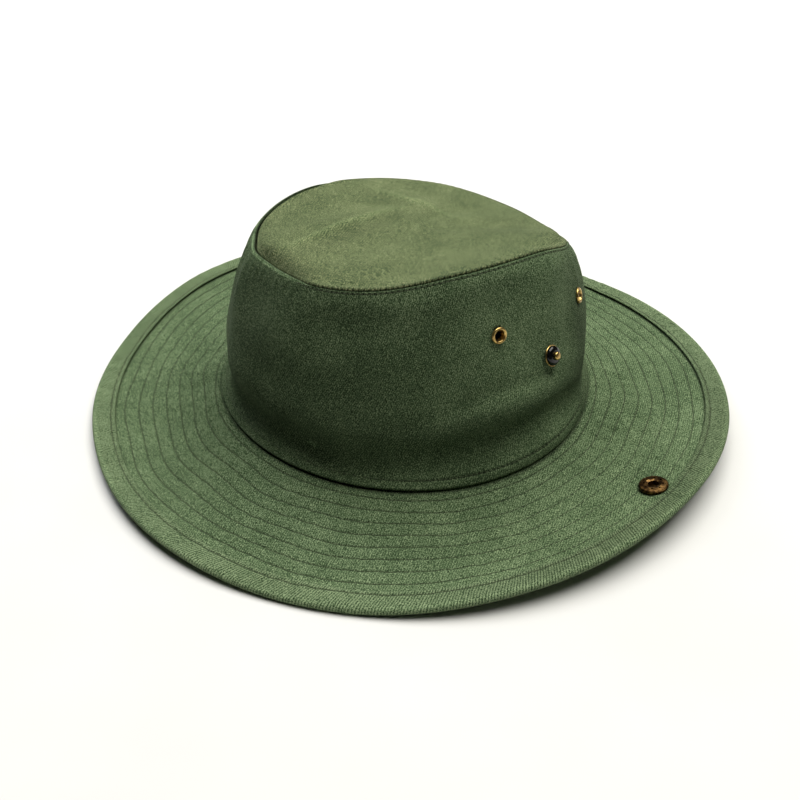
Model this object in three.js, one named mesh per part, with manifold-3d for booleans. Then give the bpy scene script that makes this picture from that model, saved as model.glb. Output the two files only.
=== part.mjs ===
// Outback hat in cotton twill. Millimetres, +Z up, floor at z = 0.
// The front of the hat is at -Y and the wearer's left side, with the snap, is at +X.
import * as THREE from 'three';
import Module from 'manifold-3d';

// ---- cloth ----
const SIDE_CLOTH = 1.5;
const TIP_CLOTH = 1.5;
const BRIM_CLOTH = 1.5;
const BINDING_CLOTH = 1.0;
const GAP = 0.3;

// ---- main sizes ----
const HEAD_RADIUS = 97.5;
const BRIM_WIDTH = 68.5;
const BINDING_WIDTH = 11;
const TIP = { halfLength: 81.5, halfWidth: 71.5, toLeft: 2, toBack: 2.5, dome: 2.5 };
const CORNER = { at: 334, half: 8, out: 1.8 };
const BROW_REACH = 0.1;
const TUCK = { start: 0.012, full: 0.085, leaves: 0.1, gone: 0.42 };
const EDGE_EASE = 8;

// ---- facets ----
const AROUND = 60;
const SIDE_LEVELS = [
  0, 0.045, 0.1, 0.16, 0.22, 0.28, 0.34, 0.4, 0.46, 0.53, 0.61, 0.69, 0.78, 0.88, 0.96, 1,
];
const INNER_LEVELS = [0, 0.045, 0.09, 0.18, 0.3, 0.46, 0.64, 0.82, 0.94, 0.97, 1];
const BRIM_TURNED_UP = [0.045, 0.09];
const TIP_TURNED_DOWN = [0.97, 0.94];
const BRIM_STEPS = [0, 10, 22, 34, 46, BRIM_WIDTH - BINDING_WIDTH];
const TIP_RINGS = [0.96, 0.9, 0.78, 0.58, 0.38, 0.18];

// One row for each section round the hat. at: degrees from the front, turning to the wearer's left.
// girth and seat: radius and height of the seam between brim and crown.
// leave: slope of the brim as it leaves that seam. turn: how far it curls up over its width.
const BRIM_SECTIONS = [
  { at: 0, girth: 97.5, seat: 11, leave: -15, turn: 20 },
  { at: 30, girth: 98, seat: 9.5, leave: -14, turn: 15 },
  { at: 60, girth: 97.5, seat: 8, leave: -15, turn: 32 },
  { at: 90, girth: 96.5, seat: 8.5, leave: -10, turn: 30 },
  { at: 120, girth: 95, seat: 11.5, leave: -10, turn: 19 },
  { at: 150, girth: 95.5, seat: 11.5, leave: -20, turn: 32 },
  { at: 180, girth: 97, seat: 11.5, leave: -21, turn: 25 },
  { at: 210, girth: 98, seat: 9.5, leave: -11, turn: 3 },
  { at: 240, girth: 98, seat: 8.5, leave: -5, turn: 12 },
  { at: 270, girth: 97.5, seat: 9, leave: 0, turn: 5 },
  { at: 300, girth: 97.5, seat: 11, leave: -16, turn: 21 },
  { at: 330, girth: 97.5, seat: 12, leave: -33, turn: 55 },
];

// The same sections of the crown. top: height of the tip seam. belly: how far the side panel swells.
// tuck: how far it sinks in just above the brim. brow: how far it stands out just under the tip seam.
// puff: how far the tip stands up beside that seam.
const CROWN_SECTIONS = [
  { at: 0, top: 99, belly: 3.5, tuck: 3.5, brow: 1, puff: 2.5 },
  { at: 30, top: 101.5, belly: 1.5, tuck: 3, brow: 2, puff: 1 },
  { at: 60, top: 106.5, belly: 0, tuck: 2.5, brow: 3, puff: 0.5 },
  { at: 90, top: 104, belly: 0.5, tuck: 2.5, brow: 3, puff: 2.5 },
  { at: 120, top: 89.5, belly: 3.5, tuck: 2.5, brow: 2, puff: 7.5 },
  { at: 150, top: 77, belly: 2.5, tuck: 2, brow: 1.5, puff: 7 },
  { at: 180, top: 77, belly: 5, tuck: 2, brow: 1.5, puff: 4 },
  { at: 210, top: 83, belly: 5, tuck: 2, brow: 1.5, puff: 5.5 },
  { at: 240, top: 89.5, belly: 4, tuck: 2, brow: 1.5, puff: 4 },
  { at: 270, top: 95, belly: 1.5, tuck: 2.5, brow: 1.5, puff: 0.5 },
  { at: 300, top: 96.5, belly: 4, tuck: 3.5, brow: 1, puff: 1 },
  { at: 330, top: 98.5, belly: 4.5, tuck: 4, brow: 0.8, puff: 4 },
];
const SECTIONS = BRIM_SECTIONS.map((row, k) => ({ ...row, ...CROWN_SECTIONS[k] }));

// Soft folds of the side panel. at and level: middle of the fold, in degrees and as a share of the
// panel's height. half and tall: its half extents in the same units. sag: drop in level one half
// extent away from the middle. out: height of the fold in millimetres, negative for a hollow.
const SIDE_FOLDS = [
  { name: 'roll under the stud', at: 80, level: 0.405, half: 26, tall: 0.075, sag: 0.06, out: 3.2 },
  { name: 'hollow under the roll', at: 70, level: 0.235, half: 30, tall: 0.075, sag: 0.05, out: -2.8 },
  { name: 'hollow along the front foot', at: 5, level: 0.15, half: 40, tall: 0.07, sag: 0, out: -1.4 },
  { name: 'soft roll of the front', at: -5, level: 0.33, half: 36, tall: 0.09, sag: 0, out: 1.2 },
  { name: 'hollow of the front', at: 5, level: 0.5, half: 34, tall: 0.13, sag: 0, out: -1.4 },
  { name: 'pull of the front corner', at: 333, level: 0.8, half: 8, tall: 0.3, sag: 0, out: 1.2 },
];

// Soft folds of the tip. x and y: middle of the fold. along and across: half extents.
// turn: direction of its length, in degrees from +X. up: height, negative for a hollow.
const TIP_FOLDS = [
  { name: 'ridge from the front corner', x: -22, y: -22, along: 44, across: 9, turn: 82, up: 2 },
  { name: 'hollow beside the ridge', x: 5, y: -32, along: 30, across: 12, turn: 85, up: -1.6 },
  { name: 'hollow by the far rim', x: -46, y: -12, along: 26, across: 13, turn: 85, up: -1.2 },
  { name: 'fold across the back', x: -20, y: 30, along: 30, across: 7, turn: 0, up: 1.2 },
  { name: 'dish by the rear', x: 30, y: 40, along: 30, across: 18, turn: 70, up: -1.4 },
];

// ---- fittings ----
const EYELETS = [
  { name: 'eyelet_front', at: 69, level: 0.7 },
  { name: 'eyelet_rear', at: 110.5, level: 0.715 },
];
const EYELET = { hole: 2.1, barrel: 2.6, flange: 3.9, thick: 0.9, back: 0.6, sides: 16 };
const STUD = { at: 88.3, level: 0.503 };
const STUD_POST = { nub: 1.95, out: 4.8, barrel: 1.6, washer: 5.1, thick: 0.5, back: 4.5, sides: 16 };
const STUD_COLLAR = { inner: 2.3, outer: 4.6, rise: 1.6, sides: 16 };
const SOCKET = { at: 90, out: 50, hole: 2.5, barrel: 3.2, ring: 6.8, rise: 1.6, back: 6, sides: 20 };
const SOCKET_NOTCHES = { count: 8, at: 4.35, radius: 0.55, depth: 0.6 };
// Space kept clear of the cloth: round a barrel, over the face, behind a rear flange of the side
// panel, and under the stud's washer, where the panel is most curved.
const HOLE_CLEARANCE = 0.35;
const FITTING_CLEARANCE = 0.55;
const REAR_CLEARANCE = 0.9;
const STUD_CLEARANCE = 0.9;

const wasm = await Module();
wasm.setup();

const TWILL = new THREE.MeshStandardMaterial({
  name: 'green_twill', color: '#5f7050', roughness: 0.95,
});
const BRASS = new THREE.MeshStandardMaterial({
  name: 'brass', color: '#b08d4f', roughness: 0.35, metalness: 1,
});
const AGED_BRASS = new THREE.MeshStandardMaterial({
  name: 'aged_brass', color: '#8a6f42', roughness: 0.4, metalness: 1,
});
const BLACK = new THREE.MeshStandardMaterial({
  name: 'black_lacquer', color: '#141414', roughness: 0.25,
});

const radians = THREE.MathUtils.degToRad;
const { smoothstep } = THREE.MathUtils;

// Value of one column of SECTIONS at any angle, on a smooth closed curve through the rows.
function around(column, degrees) {
  const count = SECTIONS.length;
  const place = (((degrees % 360) + 360) % 360) / (360 / count);
  const row = Math.floor(place);
  const f = place - row;
  const [a, b, c, d] = [-1, 0, 1, 2].map((k) => SECTIONS[(row + k + count) % count][column]);
  return b + 0.5 * f * (c - a + f * (2 * a - 5 * b + 4 * c - d + f * (3 * (b - c) + d - a)));
}

// Direction that points out of the hat at an angle from the front.
function outward(degrees) {
  const a = radians(degrees);
  return new THREE.Vector3(Math.sin(a), -Math.cos(a), 0);
}

// Shortest signed difference between two angles.
function angleBetween(a, b) {
  return ((((a - b) % 360) + 540) % 360) - 180;
}

// Bell shape: 1 in the middle, 0.37 at one half extent.
function bell(distance, half) {
  return Math.exp(-((distance / half) ** 2));
}

// ---- side panel ----

function seamPoint(degrees) {
  const a = radians(degrees);
  const x = TIP.halfWidth * Math.sin(a) + TIP.toLeft;
  const y = -TIP.halfLength * Math.cos(a) + TIP.toBack;
  const corner = CORNER.out * bell(angleBetween(degrees, CORNER.at), CORNER.half);
  return new THREE.Vector3(x, y, around('top', degrees)).addScaledVector(outward(degrees), corner);
}

function sideSwell(degrees, level) {
  const up = Math.max(level, 0);
  let swell = around('belly', degrees) * Math.sin(Math.PI * Math.min(up, 1) ** 1.4);
  const sunk = smoothstep(up, TUCK.start, TUCK.full) * (1 - smoothstep(up, TUCK.leaves, TUCK.gone));
  swell -= around('tuck', degrees) * sunk;
  swell += around('brow', degrees) * up * (1 - Math.max(0, 1 - (1 - up) / BROW_REACH) ** 2);
  for (const fold of SIDE_FOLDS) {
    const along = angleBetween(degrees, fold.at);
    const rise = up - fold.level + fold.sag * (along / fold.half) ** 2;
    const seams = Math.min(1, up / 0.08, (1 - up) / 0.06);
    swell += fold.out * bell(along, fold.half) * bell(rise, fold.tall) * Math.max(0, seams);
  }
  return swell;
}

function sideSurface(degrees, level) {
  const foot = outward(degrees).multiplyScalar(around('girth', degrees));
  foot.z = around('seat', degrees) + GAP;
  const point = foot.lerp(seamPoint(degrees), level);
  return point.addScaledVector(outward(degrees), sideSwell(degrees, level));
}

function sideNormal(degrees, level) {
  const low = Math.max(level - 0.01, 0);
  const up = sideSurface(degrees, low + 0.02).sub(sideSurface(degrees, low));
  const round = sideSurface(degrees + 0.5, level).sub(sideSurface(degrees - 0.5, level));
  return round.cross(up).normalize();
}

// Point inside the side panel's outer face by a given depth.
function sideDepth(degrees, level, depth) {
  return sideSurface(degrees, level).addScaledVector(sideNormal(degrees, level), -depth);
}

// ---- brim ----

// Reach, rise and slope of the brim's middle line at a distance out from the crown seam.
function brimMiddle(degrees, distance) {
  const leave = radians(around('leave', degrees));
  const turn = radians(around('turn', degrees));
  const steps = 12;
  const step = distance / steps;
  let reach = 0;
  let rise = 0;
  for (let k = 0; k < steps; k += 1) {
    const slope = leave + turn * (((k + 0.5) * step) / BRIM_WIDTH);
    reach += Math.cos(slope) * step;
    rise += Math.sin(slope) * step;
  }
  return { reach, rise, slope: leave + (turn * distance) / BRIM_WIDTH };
}

// Half the thickness of all the cloth at a distance out, which grows to that of the bound edge.
function halfThickness(distance) {
  const bound = BRIM_WIDTH - BINDING_WIDTH;
  const near = smoothstep(distance, bound - EDGE_EASE, bound);
  return BRIM_CLOTH / 2 + near * (GAP + BINDING_CLOTH);
}

// Point of the brim at a distance out and a height above its middle, lifted where it would
// sink through the floor, so that the low places of the edge lie flat.
function brimLayer(degrees, distance, above) {
  const { reach, rise, slope } = brimMiddle(degrees, distance);
  const sink = (BRIM_CLOTH / 2) * (1 - distance / BRIM_WIDTH);
  const middle = around('seat', degrees) + rise - sink;
  const lift = Math.max(0, halfThickness(distance) * Math.cos(slope) - middle);
  const inset = (HEAD_RADIUS - around('girth', degrees)) * (1 - distance / BRIM_WIDTH);
  const radius = HEAD_RADIUS - inset + reach - above * Math.sin(slope);
  const point = outward(degrees).multiplyScalar(radius);
  point.z = Math.max(0, middle + lift + above * Math.cos(slope));
  return point;
}

function brimSection(degrees) {
  const end = BRIM_WIDTH - BINDING_CLOTH - GAP;
  const stations = [...BRIM_STEPS, end];
  const top = stations.map((d) => brimLayer(degrees, d, BRIM_CLOTH / 2));
  const under = stations.map((d) => brimLayer(degrees, d, -BRIM_CLOTH / 2));
  const near = SIDE_CLOTH + GAP;
  const far = near + BRIM_CLOTH;
  const cornerUnder = sideDepth(degrees, 0, far).setZ(under[0].z);
  const cornerTop = sideDepth(degrees, 0, near).setZ(top[0].z);
  const inner = BRIM_TURNED_UP.map((level) => sideDepth(degrees, level, far));
  const outer = BRIM_TURNED_UP.map((level) => sideDepth(degrees, level, near));
  return [...top, ...under.reverse(), cornerUnder, ...inner, ...outer.reverse(), cornerTop];
}

// ---- binding ----

// Section of the folded strip: over the brim, round its edge and back under it.
function bindingSection(degrees) {
  const start = BRIM_WIDTH - BINDING_WIDTH;
  const inside = BRIM_CLOTH / 2 + GAP;
  const outside = inside + BINDING_CLOTH;
  const fold = BRIM_WIDTH - BINDING_CLOTH;
  const overTop = [
    [start, inside],
    [start - 0.3, (inside + outside) / 2],
    [start, outside],
    [BRIM_WIDTH - 1.2, outside],
    [BRIM_WIDTH - 0.3, outside * 0.7],
    [BRIM_WIDTH, outside * 0.3],
  ];
  const mirrored = overTop.map(([d, above]) => [d, -above]).reverse();
  const inner = [[fold, -inside], [fold, inside]];
  return [...overTop, ...mirrored, ...inner].map(([d, above]) => brimLayer(degrees, d, above));
}

// ---- side panel and tip ----

function sideSection(degrees) {
  const outer = SIDE_LEVELS.map((level) => sideSurface(degrees, level));
  const inner = INNER_LEVELS.map((level) => sideDepth(degrees, level, SIDE_CLOTH));
  inner[0].setZ(outer[0].z);
  return [...outer, ...inner.reverse()];
}

// Tilt of the tip seam: the height that it gains from its middle to its edge, to the left and front.
function tipTilt() {
  const share = 2 / SECTIONS.length;
  const toLeft = SECTIONS.reduce((sum, row) => sum + row.top * Math.sin(radians(row.at)) * share, 0);
  const toFront = SECTIONS.reduce((sum, row) => sum + row.top * Math.cos(radians(row.at)) * share, 0);
  const middle = SECTIONS.reduce((sum, row) => sum + row.top / SECTIONS.length, 0);
  return { toLeft, toFront, middle };
}

const TILT = tipTilt();

function tipFoldHeight(x, y) {
  let height = 0;
  for (const fold of TIP_FOLDS) {
    const a = radians(fold.turn);
    const along = (x - fold.x) * Math.cos(a) + (y - fold.y) * Math.sin(a);
    const across = (y - fold.y) * Math.cos(a) - (x - fold.x) * Math.sin(a);
    height += fold.up * bell(along, fold.along) * bell(across, fold.across);
  }
  return height;
}

// Point of the tip at a share of the way from its middle to its rim, and a depth below its top.
function tipLayer(degrees, share, depth) {
  const rim = sideDepth(degrees, 1, SIDE_CLOTH + GAP);
  const a = radians(degrees);
  const plane = TILT.toLeft * Math.sin(a) + TILT.toFront * Math.cos(a);
  const warp = rim.z - TILT.middle - plane;
  const x = TIP.toLeft + (rim.x - TIP.toLeft) * share;
  const y = TIP.toBack + (rim.y - TIP.toBack) * share;
  const puff = around('puff', degrees) * share ** 2 * (1 - share ** 20);
  const slack = TIP.dome * (1 - share ** 2) + puff + tipFoldHeight(x, y) * (1 - share ** 6);
  const height = TILT.middle + plane * share + warp * share ** 2.2 + slack;
  return new THREE.Vector3(x, y, height - depth);
}

function tipSection(degrees) {
  const near = SIDE_CLOTH + GAP;
  const far = near + TIP_CLOTH;
  const [half, end] = TIP_TURNED_DOWN;
  return [
    tipLayer(degrees, 0, 0),
    ...[...TIP_RINGS].reverse().map((share) => tipLayer(degrees, share, 0)),
    tipLayer(degrees, 1, 0),
    sideDepth(degrees, half, near),
    sideDepth(degrees, end, near),
    sideDepth(degrees, end, far),
    sideDepth(degrees, (1 + half) / 2, far),
    ...TIP_RINGS.slice(1).map((share) => tipLayer(degrees, share, TIP_CLOTH)),
    tipLayer(degrees, 0, TIP_CLOTH),
  ];
}

// ---- solids ----

function volumeOf(points, faces) {
  let sum = 0;
  for (let i = 0; i < faces.length; i += 3) {
    const [a, b, c] = [points[faces[i]], points[faces[i + 1]], points[faces[i + 2]]];
    sum += a.dot(b.clone().cross(c));
  }
  return sum / 6;
}

function solidFrom(points, faces) {
  const outwardFaces = [...faces];
  if (volumeOf(points, faces) < 0) {
    outwardFaces.reverse();
  }
  const geometry = new THREE.BufferGeometry();
  geometry.setFromPoints(points);
  geometry.setIndex(outwardFaces);
  return geometry;
}

// Four corners as two faces, split along the shorter diagonal so that facing cloths match.
function twoFaces(points, a, b, c, d) {
  const straight = points[a].distanceTo(points[c]) <= points[b].distanceTo(points[d]);
  return straight ? [a, b, c, a, c, d] : [a, b, d, b, c, d];
}

// Closed ring: a closed section, which may change with the angle, carried all the way round.
function ringSolid(section, sides) {
  const rings = Array.from({ length: sides }, (_, i) => section((360 * i) / sides));
  const points = rings.flat();
  const count = rings[0].length;
  const faces = [];
  for (let i = 0; i < sides; i += 1) {
    const next = (i + 1) % sides;
    for (let j = 0; j < count; j += 1) {
      const k = (j + 1) % count;
      faces.push(...twoFaces(points, i * count + j, next * count + j, next * count + k, i * count + k));
    }
  }
  return solidFrom(points, faces);
}

// Closed disc: a section that starts and ends on the axis, carried all the way round.
function discSolid(section, sides) {
  const rings = Array.from({ length: sides }, (_, i) => section((360 * i) / sides));
  const first = rings[0][0];
  const last = rings[0][rings[0].length - 1];
  const count = rings[0].length - 2;
  const points = [...rings.flatMap((ring) => ring.slice(1, -1)), first, last];
  const firstIndex = sides * count;
  const lastIndex = firstIndex + 1;
  const faces = [];
  for (let i = 0; i < sides; i += 1) {
    const next = (i + 1) % sides;
    faces.push(firstIndex, next * count, i * count);
    faces.push(lastIndex, i * count + count - 1, next * count + count - 1);
    for (let j = 0; j < count - 1; j += 1) {
      const [a, b] = [i * count + j, next * count + j];
      faces.push(...twoFaces(points, a, b, b + 1, a + 1));
    }
  }
  return solidFrom(points, faces);
}

function turned(profile, sides) {
  const section = (degrees) => profile.map(([r, z]) => outward(degrees).multiplyScalar(r).setZ(z));
  return profile[0][0] === 0 ? discSolid(section, sides) : ringSolid(section, sides);
}

function toManifold(geometry) {
  const vertProperties = new Float32Array(geometry.attributes.position.array);
  const triVerts = new Uint32Array(geometry.index.array);
  return new wasm.Manifold(new wasm.Mesh({ numProp: 3, vertProperties, triVerts }));
}

function cutAway(geometry, tools) {
  let body = toManifold(geometry);
  for (const tool of tools) {
    body = body.subtract(toManifold(tool));
  }
  const mesh = body.getMesh();
  const result = new THREE.BufferGeometry();
  result.setAttribute('position', new THREE.Float32BufferAttribute(mesh.vertProperties, 3));
  result.setIndex([...mesh.triVerts]);
  return result;
}

// ---- fittings ----

// Placement on the side panel: origin on its outer face, local Z pointing out of the cloth.
function onSide(place) {
  const out = sideNormal(place.at, place.level);
  const turn = new THREE.Quaternion().setFromUnitVectors(new THREE.Vector3(0, 0, 1), out);
  const origin = sideSurface(place.at, place.level);
  return new THREE.Matrix4().compose(origin, turn, new THREE.Vector3(1, 1, 1));
}

// Placement on the brim: origin on its upper face, local Z pointing up out of the cloth.
function onBrim(place) {
  const top = BRIM_CLOTH / 2;
  const origin = brimLayer(place.at, place.out, top);
  const along = brimLayer(place.at, place.out + 4, top).sub(brimLayer(place.at, place.out - 4, top));
  const round = brimLayer(place.at + 2, place.out, top).sub(brimLayer(place.at - 2, place.out, top));
  const up = along.cross(round).normalize();
  const turn = new THREE.Quaternion().setFromUnitVectors(new THREE.Vector3(0, 0, 1), up);
  return new THREE.Matrix4().compose(origin, turn, new THREE.Vector3(1, 1, 1));
}

function drill(radius, length, placement) {
  const profile = [[0, -length / 2], [radius, -length / 2], [radius, length / 2], [0, length / 2]];
  return turned(profile, 20).applyMatrix4(placement);
}

function eyelet(place) {
  const { hole, barrel, flange, thick, back, sides } = EYELET;
  const face = FITTING_CLEARANCE;
  const rear = -SIDE_CLOTH - REAR_CLEARANCE;
  const profile = [
    [hole, rear - back],
    [flange - 0.2, rear - back],
    [flange - 0.2, rear],
    [barrel, rear],
    [barrel, face],
    [flange, face],
    [flange, face + thick * 0.4],
    [flange - 0.5, face + thick * 0.9],
    [barrel + 0.4, face + thick],
    [hole + 0.15, face + thick * 0.6],
    [hole, face],
  ];
  return turned(profile, sides).applyMatrix4(onSide(place));
}

function studPost() {
  const { nub, out, barrel, washer, thick, back, sides } = STUD_POST;
  const face = STUD_CLEARANCE;
  const rear = -SIDE_CLOTH - REAR_CLEARANCE;
  const profile = [
    [0, rear - 0.8],
    [back, rear - 0.8],
    [back, rear],
    [barrel, rear],
    [barrel, face],
    [washer, face],
    [washer, face + thick],
    [barrel, face + thick],
    [barrel, out - 1.6],
    [nub, out - 1.3],
    [nub, out - 0.5],
    [nub * 0.7, out],
    [0, out],
  ];
  return turned(profile, sides).applyMatrix4(onSide(STUD));
}

function studCollar() {
  const { inner, outer, rise, sides } = STUD_COLLAR;
  const base = STUD_CLEARANCE + STUD_POST.thick + GAP;
  const profile = [
    [inner, base],
    [outer, base],
    [outer, base + rise * 0.25],
    [outer * 0.87, base + rise * 0.7],
    [outer * 0.7, base + rise],
    [inner + 0.4, base + rise * 0.95],
    [inner, base + rise * 0.75],
  ];
  return turned(profile, sides).applyMatrix4(onSide(STUD));
}

function snapSocket() {
  const { hole, barrel, ring, rise, back, sides } = SOCKET;
  const face = FITTING_CLEARANCE;
  const rear = -BRIM_CLOTH - FITTING_CLEARANCE;
  const profile = [
    [0, rear - 0.7],
    [back, rear - 0.7],
    [back, rear],
    [barrel, rear],
    [barrel, face],
    [ring, face],
    [ring, face + rise * 0.55],
    [ring - 0.5, face + rise * 0.85],
    [ring - 1.3, face + rise * 0.9],
    [hole + 1.2, face + rise],
    [hole, face + rise * 0.8],
    [hole, face - 0.8],
    [0, face - 0.8],
  ];
  const { count, at, radius, depth } = SOCKET_NOTCHES;
  const notches = Array.from({ length: count }, (_, i) => {
    const centre = outward((360 * (i + 0.5)) / count).multiplyScalar(at).setZ(face + rise);
    const pit = new THREE.Matrix4().makeTranslation(centre.x, centre.y, centre.z);
    return turned([[0, -depth], [radius, -depth], [radius, 1], [0, 1]], 8).applyMatrix4(pit);
  });
  return cutAway(turned(profile, sides), notches).applyMatrix4(onBrim(SOCKET));
}

// ---- assembly ----

function piece(name, geometry, material) {
  geometry.computeVertexNormals();
  const mesh = new THREE.Mesh(geometry, material);
  mesh.name = name;
  return mesh;
}

function sidePanel() {
  const holes = EYELETS.map((place) => drill(EYELET.barrel + HOLE_CLEARANCE, 12, onSide(place)));
  holes.push(drill(STUD_POST.barrel + HOLE_CLEARANCE, 12, onSide(STUD)));
  return cutAway(ringSolid(sideSection, AROUND), holes);
}

function brimPanel() {
  const hole = drill(SOCKET.barrel + HOLE_CLEARANCE, 8, onBrim(SOCKET));
  return cutAway(ringSolid(brimSection, AROUND), [hole]);
}

const hat = new THREE.Group();
hat.name = 'outback_hat';
hat.add(piece('crown_side', sidePanel(), TWILL));
hat.add(piece('crown_tip', discSolid(tipSection, AROUND), TWILL));
hat.add(piece('brim', brimPanel(), TWILL));
hat.add(piece('brim_binding', ringSolid(bindingSection, AROUND), TWILL));
for (const place of EYELETS) {
  hat.add(piece(place.name, eyelet(place), BRASS));
}
hat.add(piece('stud_post', studPost(), BRASS));
hat.add(piece('stud_collar', studCollar(), BLACK));
hat.add(piece('snap_socket', snapSocket(), AGED_BRASS));

export default hat;
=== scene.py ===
"""Outback hat in green cotton twill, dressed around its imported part.

The cloth is worked out by formulas in millimetres from the same driving sizes as the part, and turned to
metres when a mesh is made. Angles are in degrees from the front of the hat, turning to the wearer's left.
"""

import logging
import math
from collections.abc import Callable, Sequence
from dataclasses import dataclass, field
from enum import Enum

import bpy
import numpy as np
from mathutils import Matrix, Vector


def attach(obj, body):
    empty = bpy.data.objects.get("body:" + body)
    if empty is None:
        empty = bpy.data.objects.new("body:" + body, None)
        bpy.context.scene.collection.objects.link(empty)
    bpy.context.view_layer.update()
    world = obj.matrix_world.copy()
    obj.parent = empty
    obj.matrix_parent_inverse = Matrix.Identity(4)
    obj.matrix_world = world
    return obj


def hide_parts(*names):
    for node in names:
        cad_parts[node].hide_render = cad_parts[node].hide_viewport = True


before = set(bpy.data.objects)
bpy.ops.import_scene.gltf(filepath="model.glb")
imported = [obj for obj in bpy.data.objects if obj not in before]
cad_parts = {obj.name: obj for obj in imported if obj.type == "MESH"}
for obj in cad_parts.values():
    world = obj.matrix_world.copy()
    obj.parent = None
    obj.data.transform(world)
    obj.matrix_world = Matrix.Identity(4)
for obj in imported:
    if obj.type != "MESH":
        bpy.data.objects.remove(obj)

logging.basicConfig(level=logging.INFO, format="%(message)s")
LOG = logging.getLogger("outback_hat")

Array = np.ndarray
Place = tuple[float, float]
MM = 0.001
BODY = "root"
UP = np.array([0.0, 0.0, 1.0])


# ---- sizes of the hat ----


@dataclass(frozen=True)
class Section:
    """One upright section through the hat. Lengths in millimetres, slopes in degrees.

    Args:
        at: angle of the section.
        girth: radius of the seam between brim and crown.
        seat: height of that seam.
        leave: slope of the brim as it leaves the seam.
        turn: how far the brim curls up over its width.
        top: height of the tip seam.
        belly: how far the side panel swells.
        tuck: how far the side panel sinks in just above the brim.
        brow: how far it stands out just under the tip seam.
        puff: how far the tip stands up beside its seam.
    """

    at: float
    girth: float
    seat: float
    leave: float
    turn: float
    top: float
    belly: float
    tuck: float
    brow: float
    puff: float


SECTIONS = [
    Section(0, 97.5, 11, -15, 20, 99, 3.5, 3.5, 1, 2.5),
    Section(30, 98, 9.5, -14, 15, 101.5, 1.5, 3, 2, 1),
    Section(60, 97.5, 8, -15, 32, 106.5, 0, 2.5, 3, 0.5),
    Section(90, 96.5, 8.5, -10, 30, 104, 0.5, 2.5, 3, 2.5),
    Section(120, 95, 11.5, -10, 19, 89.5, 3.5, 2.5, 2, 7.5),
    Section(150, 95.5, 11.5, -20, 32, 77, 2.5, 2, 1.5, 7),
    Section(180, 97, 11.5, -21, 25, 77, 5, 2, 1.5, 4),
    Section(210, 98, 9.5, -11, 3, 83, 5, 2, 1.5, 5.5),
    Section(240, 98, 8.5, -5, 12, 89.5, 4, 2, 1.5, 4),
    Section(270, 97.5, 9, 0, 5, 95, 1.5, 2.5, 1.5, 0.5),
    Section(300, 97.5, 11, -16, 21, 96.5, 4, 3.5, 1, 1),
    Section(330, 97.5, 12, -33, 55, 98.5, 4.5, 4, 0.8, 4),
]


@dataclass(frozen=True)
class SideFold:
    """A soft fold of the side panel.

    Args:
        name: what it is.
        at: angle of its middle.
        level: its middle as a share of the panel's height.
        half: half its width in degrees.
        tall: half its height as a share of the panel's height.
        sag: drop in level one half extent away from the middle.
        out: its height in millimetres, negative for a hollow.
    """

    name: str
    at: float
    level: float
    half: float
    tall: float
    sag: float
    out: float

    def height(self, at: Array, level: Array) -> Array:
        """Height of the fold at a place on the panel.

        Args:
            at: angles.
            level: shares of the panel's height.

        Returns:
            Heights in millimetres.
        """
        along = angle_between(at, self.at)
        rise = level - self.level + self.sag * (along / self.half) ** 2
        return self.out * bell(along, self.half) * bell(rise, self.tall)


SIDE_FOLDS = [
    SideFold("roll under the stud", 80, 0.405, 26, 0.075, 0.06, 3.2),
    SideFold("hollow under the roll", 70, 0.235, 30, 0.075, 0.05, -2.8),
    SideFold("hollow along the front foot", 5, 0.15, 40, 0.07, 0, -1.4),
    SideFold("soft roll of the front", -5, 0.33, 36, 0.09, 0, 1.2),
    SideFold("hollow of the front", 5, 0.5, 34, 0.13, 0, -1.4),
    SideFold("pull of the front corner", 333, 0.8, 8, 0.3, 0, 1.2),
]

# Sharper creases, too small for the part's own solids.
SIDE_CREASES = [
    SideFold("outer pucker of the front corner", 321, 0.84, 1.5, 0.2, 0, 0.7),
    SideFold("middle pucker of the front corner", 327, 0.86, 1.4, 0.16, 0, 0.7),
    SideFold("inner pucker of the front corner", 333, 0.88, 1.6, 0.12, 0, 0.5),
    SideFold("front pucker of the rear corner", 112, 0.86, 1.6, 0.11, 0, 0.5),
    SideFold("rear pucker of the rear corner", 119, 0.84, 1.8, 0.14, 0, 0.6),
    SideFold("pinch under the stud", 88, 0.42, 0.7, 0.04, 0, -1.3),
    SideFold("flare of the left foot", 84, 0.06, 30, 0.04, 0, 1.6),
    SideFold("hollow over the roll", 74, 0.435, 24, 0.045, 0.055, -2.2),
    SideFold("crest of the roll", 76, 0.315, 26, 0.05, 0.055, 2.4),
    SideFold("hollow under the roll", 74, 0.17, 28, 0.045, 0.05, -1.2),
    SideFold("hollow beside the stud", 99, 0.56, 5, 0.16, 0, -1.0),
    SideFold("hollow under the front brow", 26, 0.83, 16, 0.05, 0, -0.9),
    SideFold("low roll of the front", 20, 0.3, 26, 0.04, 0.05, 0.7),
]


@dataclass(frozen=True)
class TipFold:
    """A soft fold of the tip, in millimetres and degrees.

    Args:
        name: what it is.
        x: its middle, to the wearer's left.
        y: its middle, to the back.
        along: half its length.
        across: half its width.
        turn: direction of its length from +X.
        up: its height, negative for a hollow.
    """

    name: str
    x: float
    y: float
    along: float
    across: float
    turn: float
    up: float

    def height(self, x: Array, y: Array) -> Array:
        """Height of the fold at a place on the tip.

        Args:
            x: distances to the wearer's left.
            y: distances to the back.

        Returns:
            Heights in millimetres.
        """
        a = math.radians(self.turn)
        along = (x - self.x) * math.cos(a) + (y - self.y) * math.sin(a)
        across = (y - self.y) * math.cos(a) - (x - self.x) * math.sin(a)
        return self.up * bell(along, self.along) * bell(across, self.across)


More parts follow.
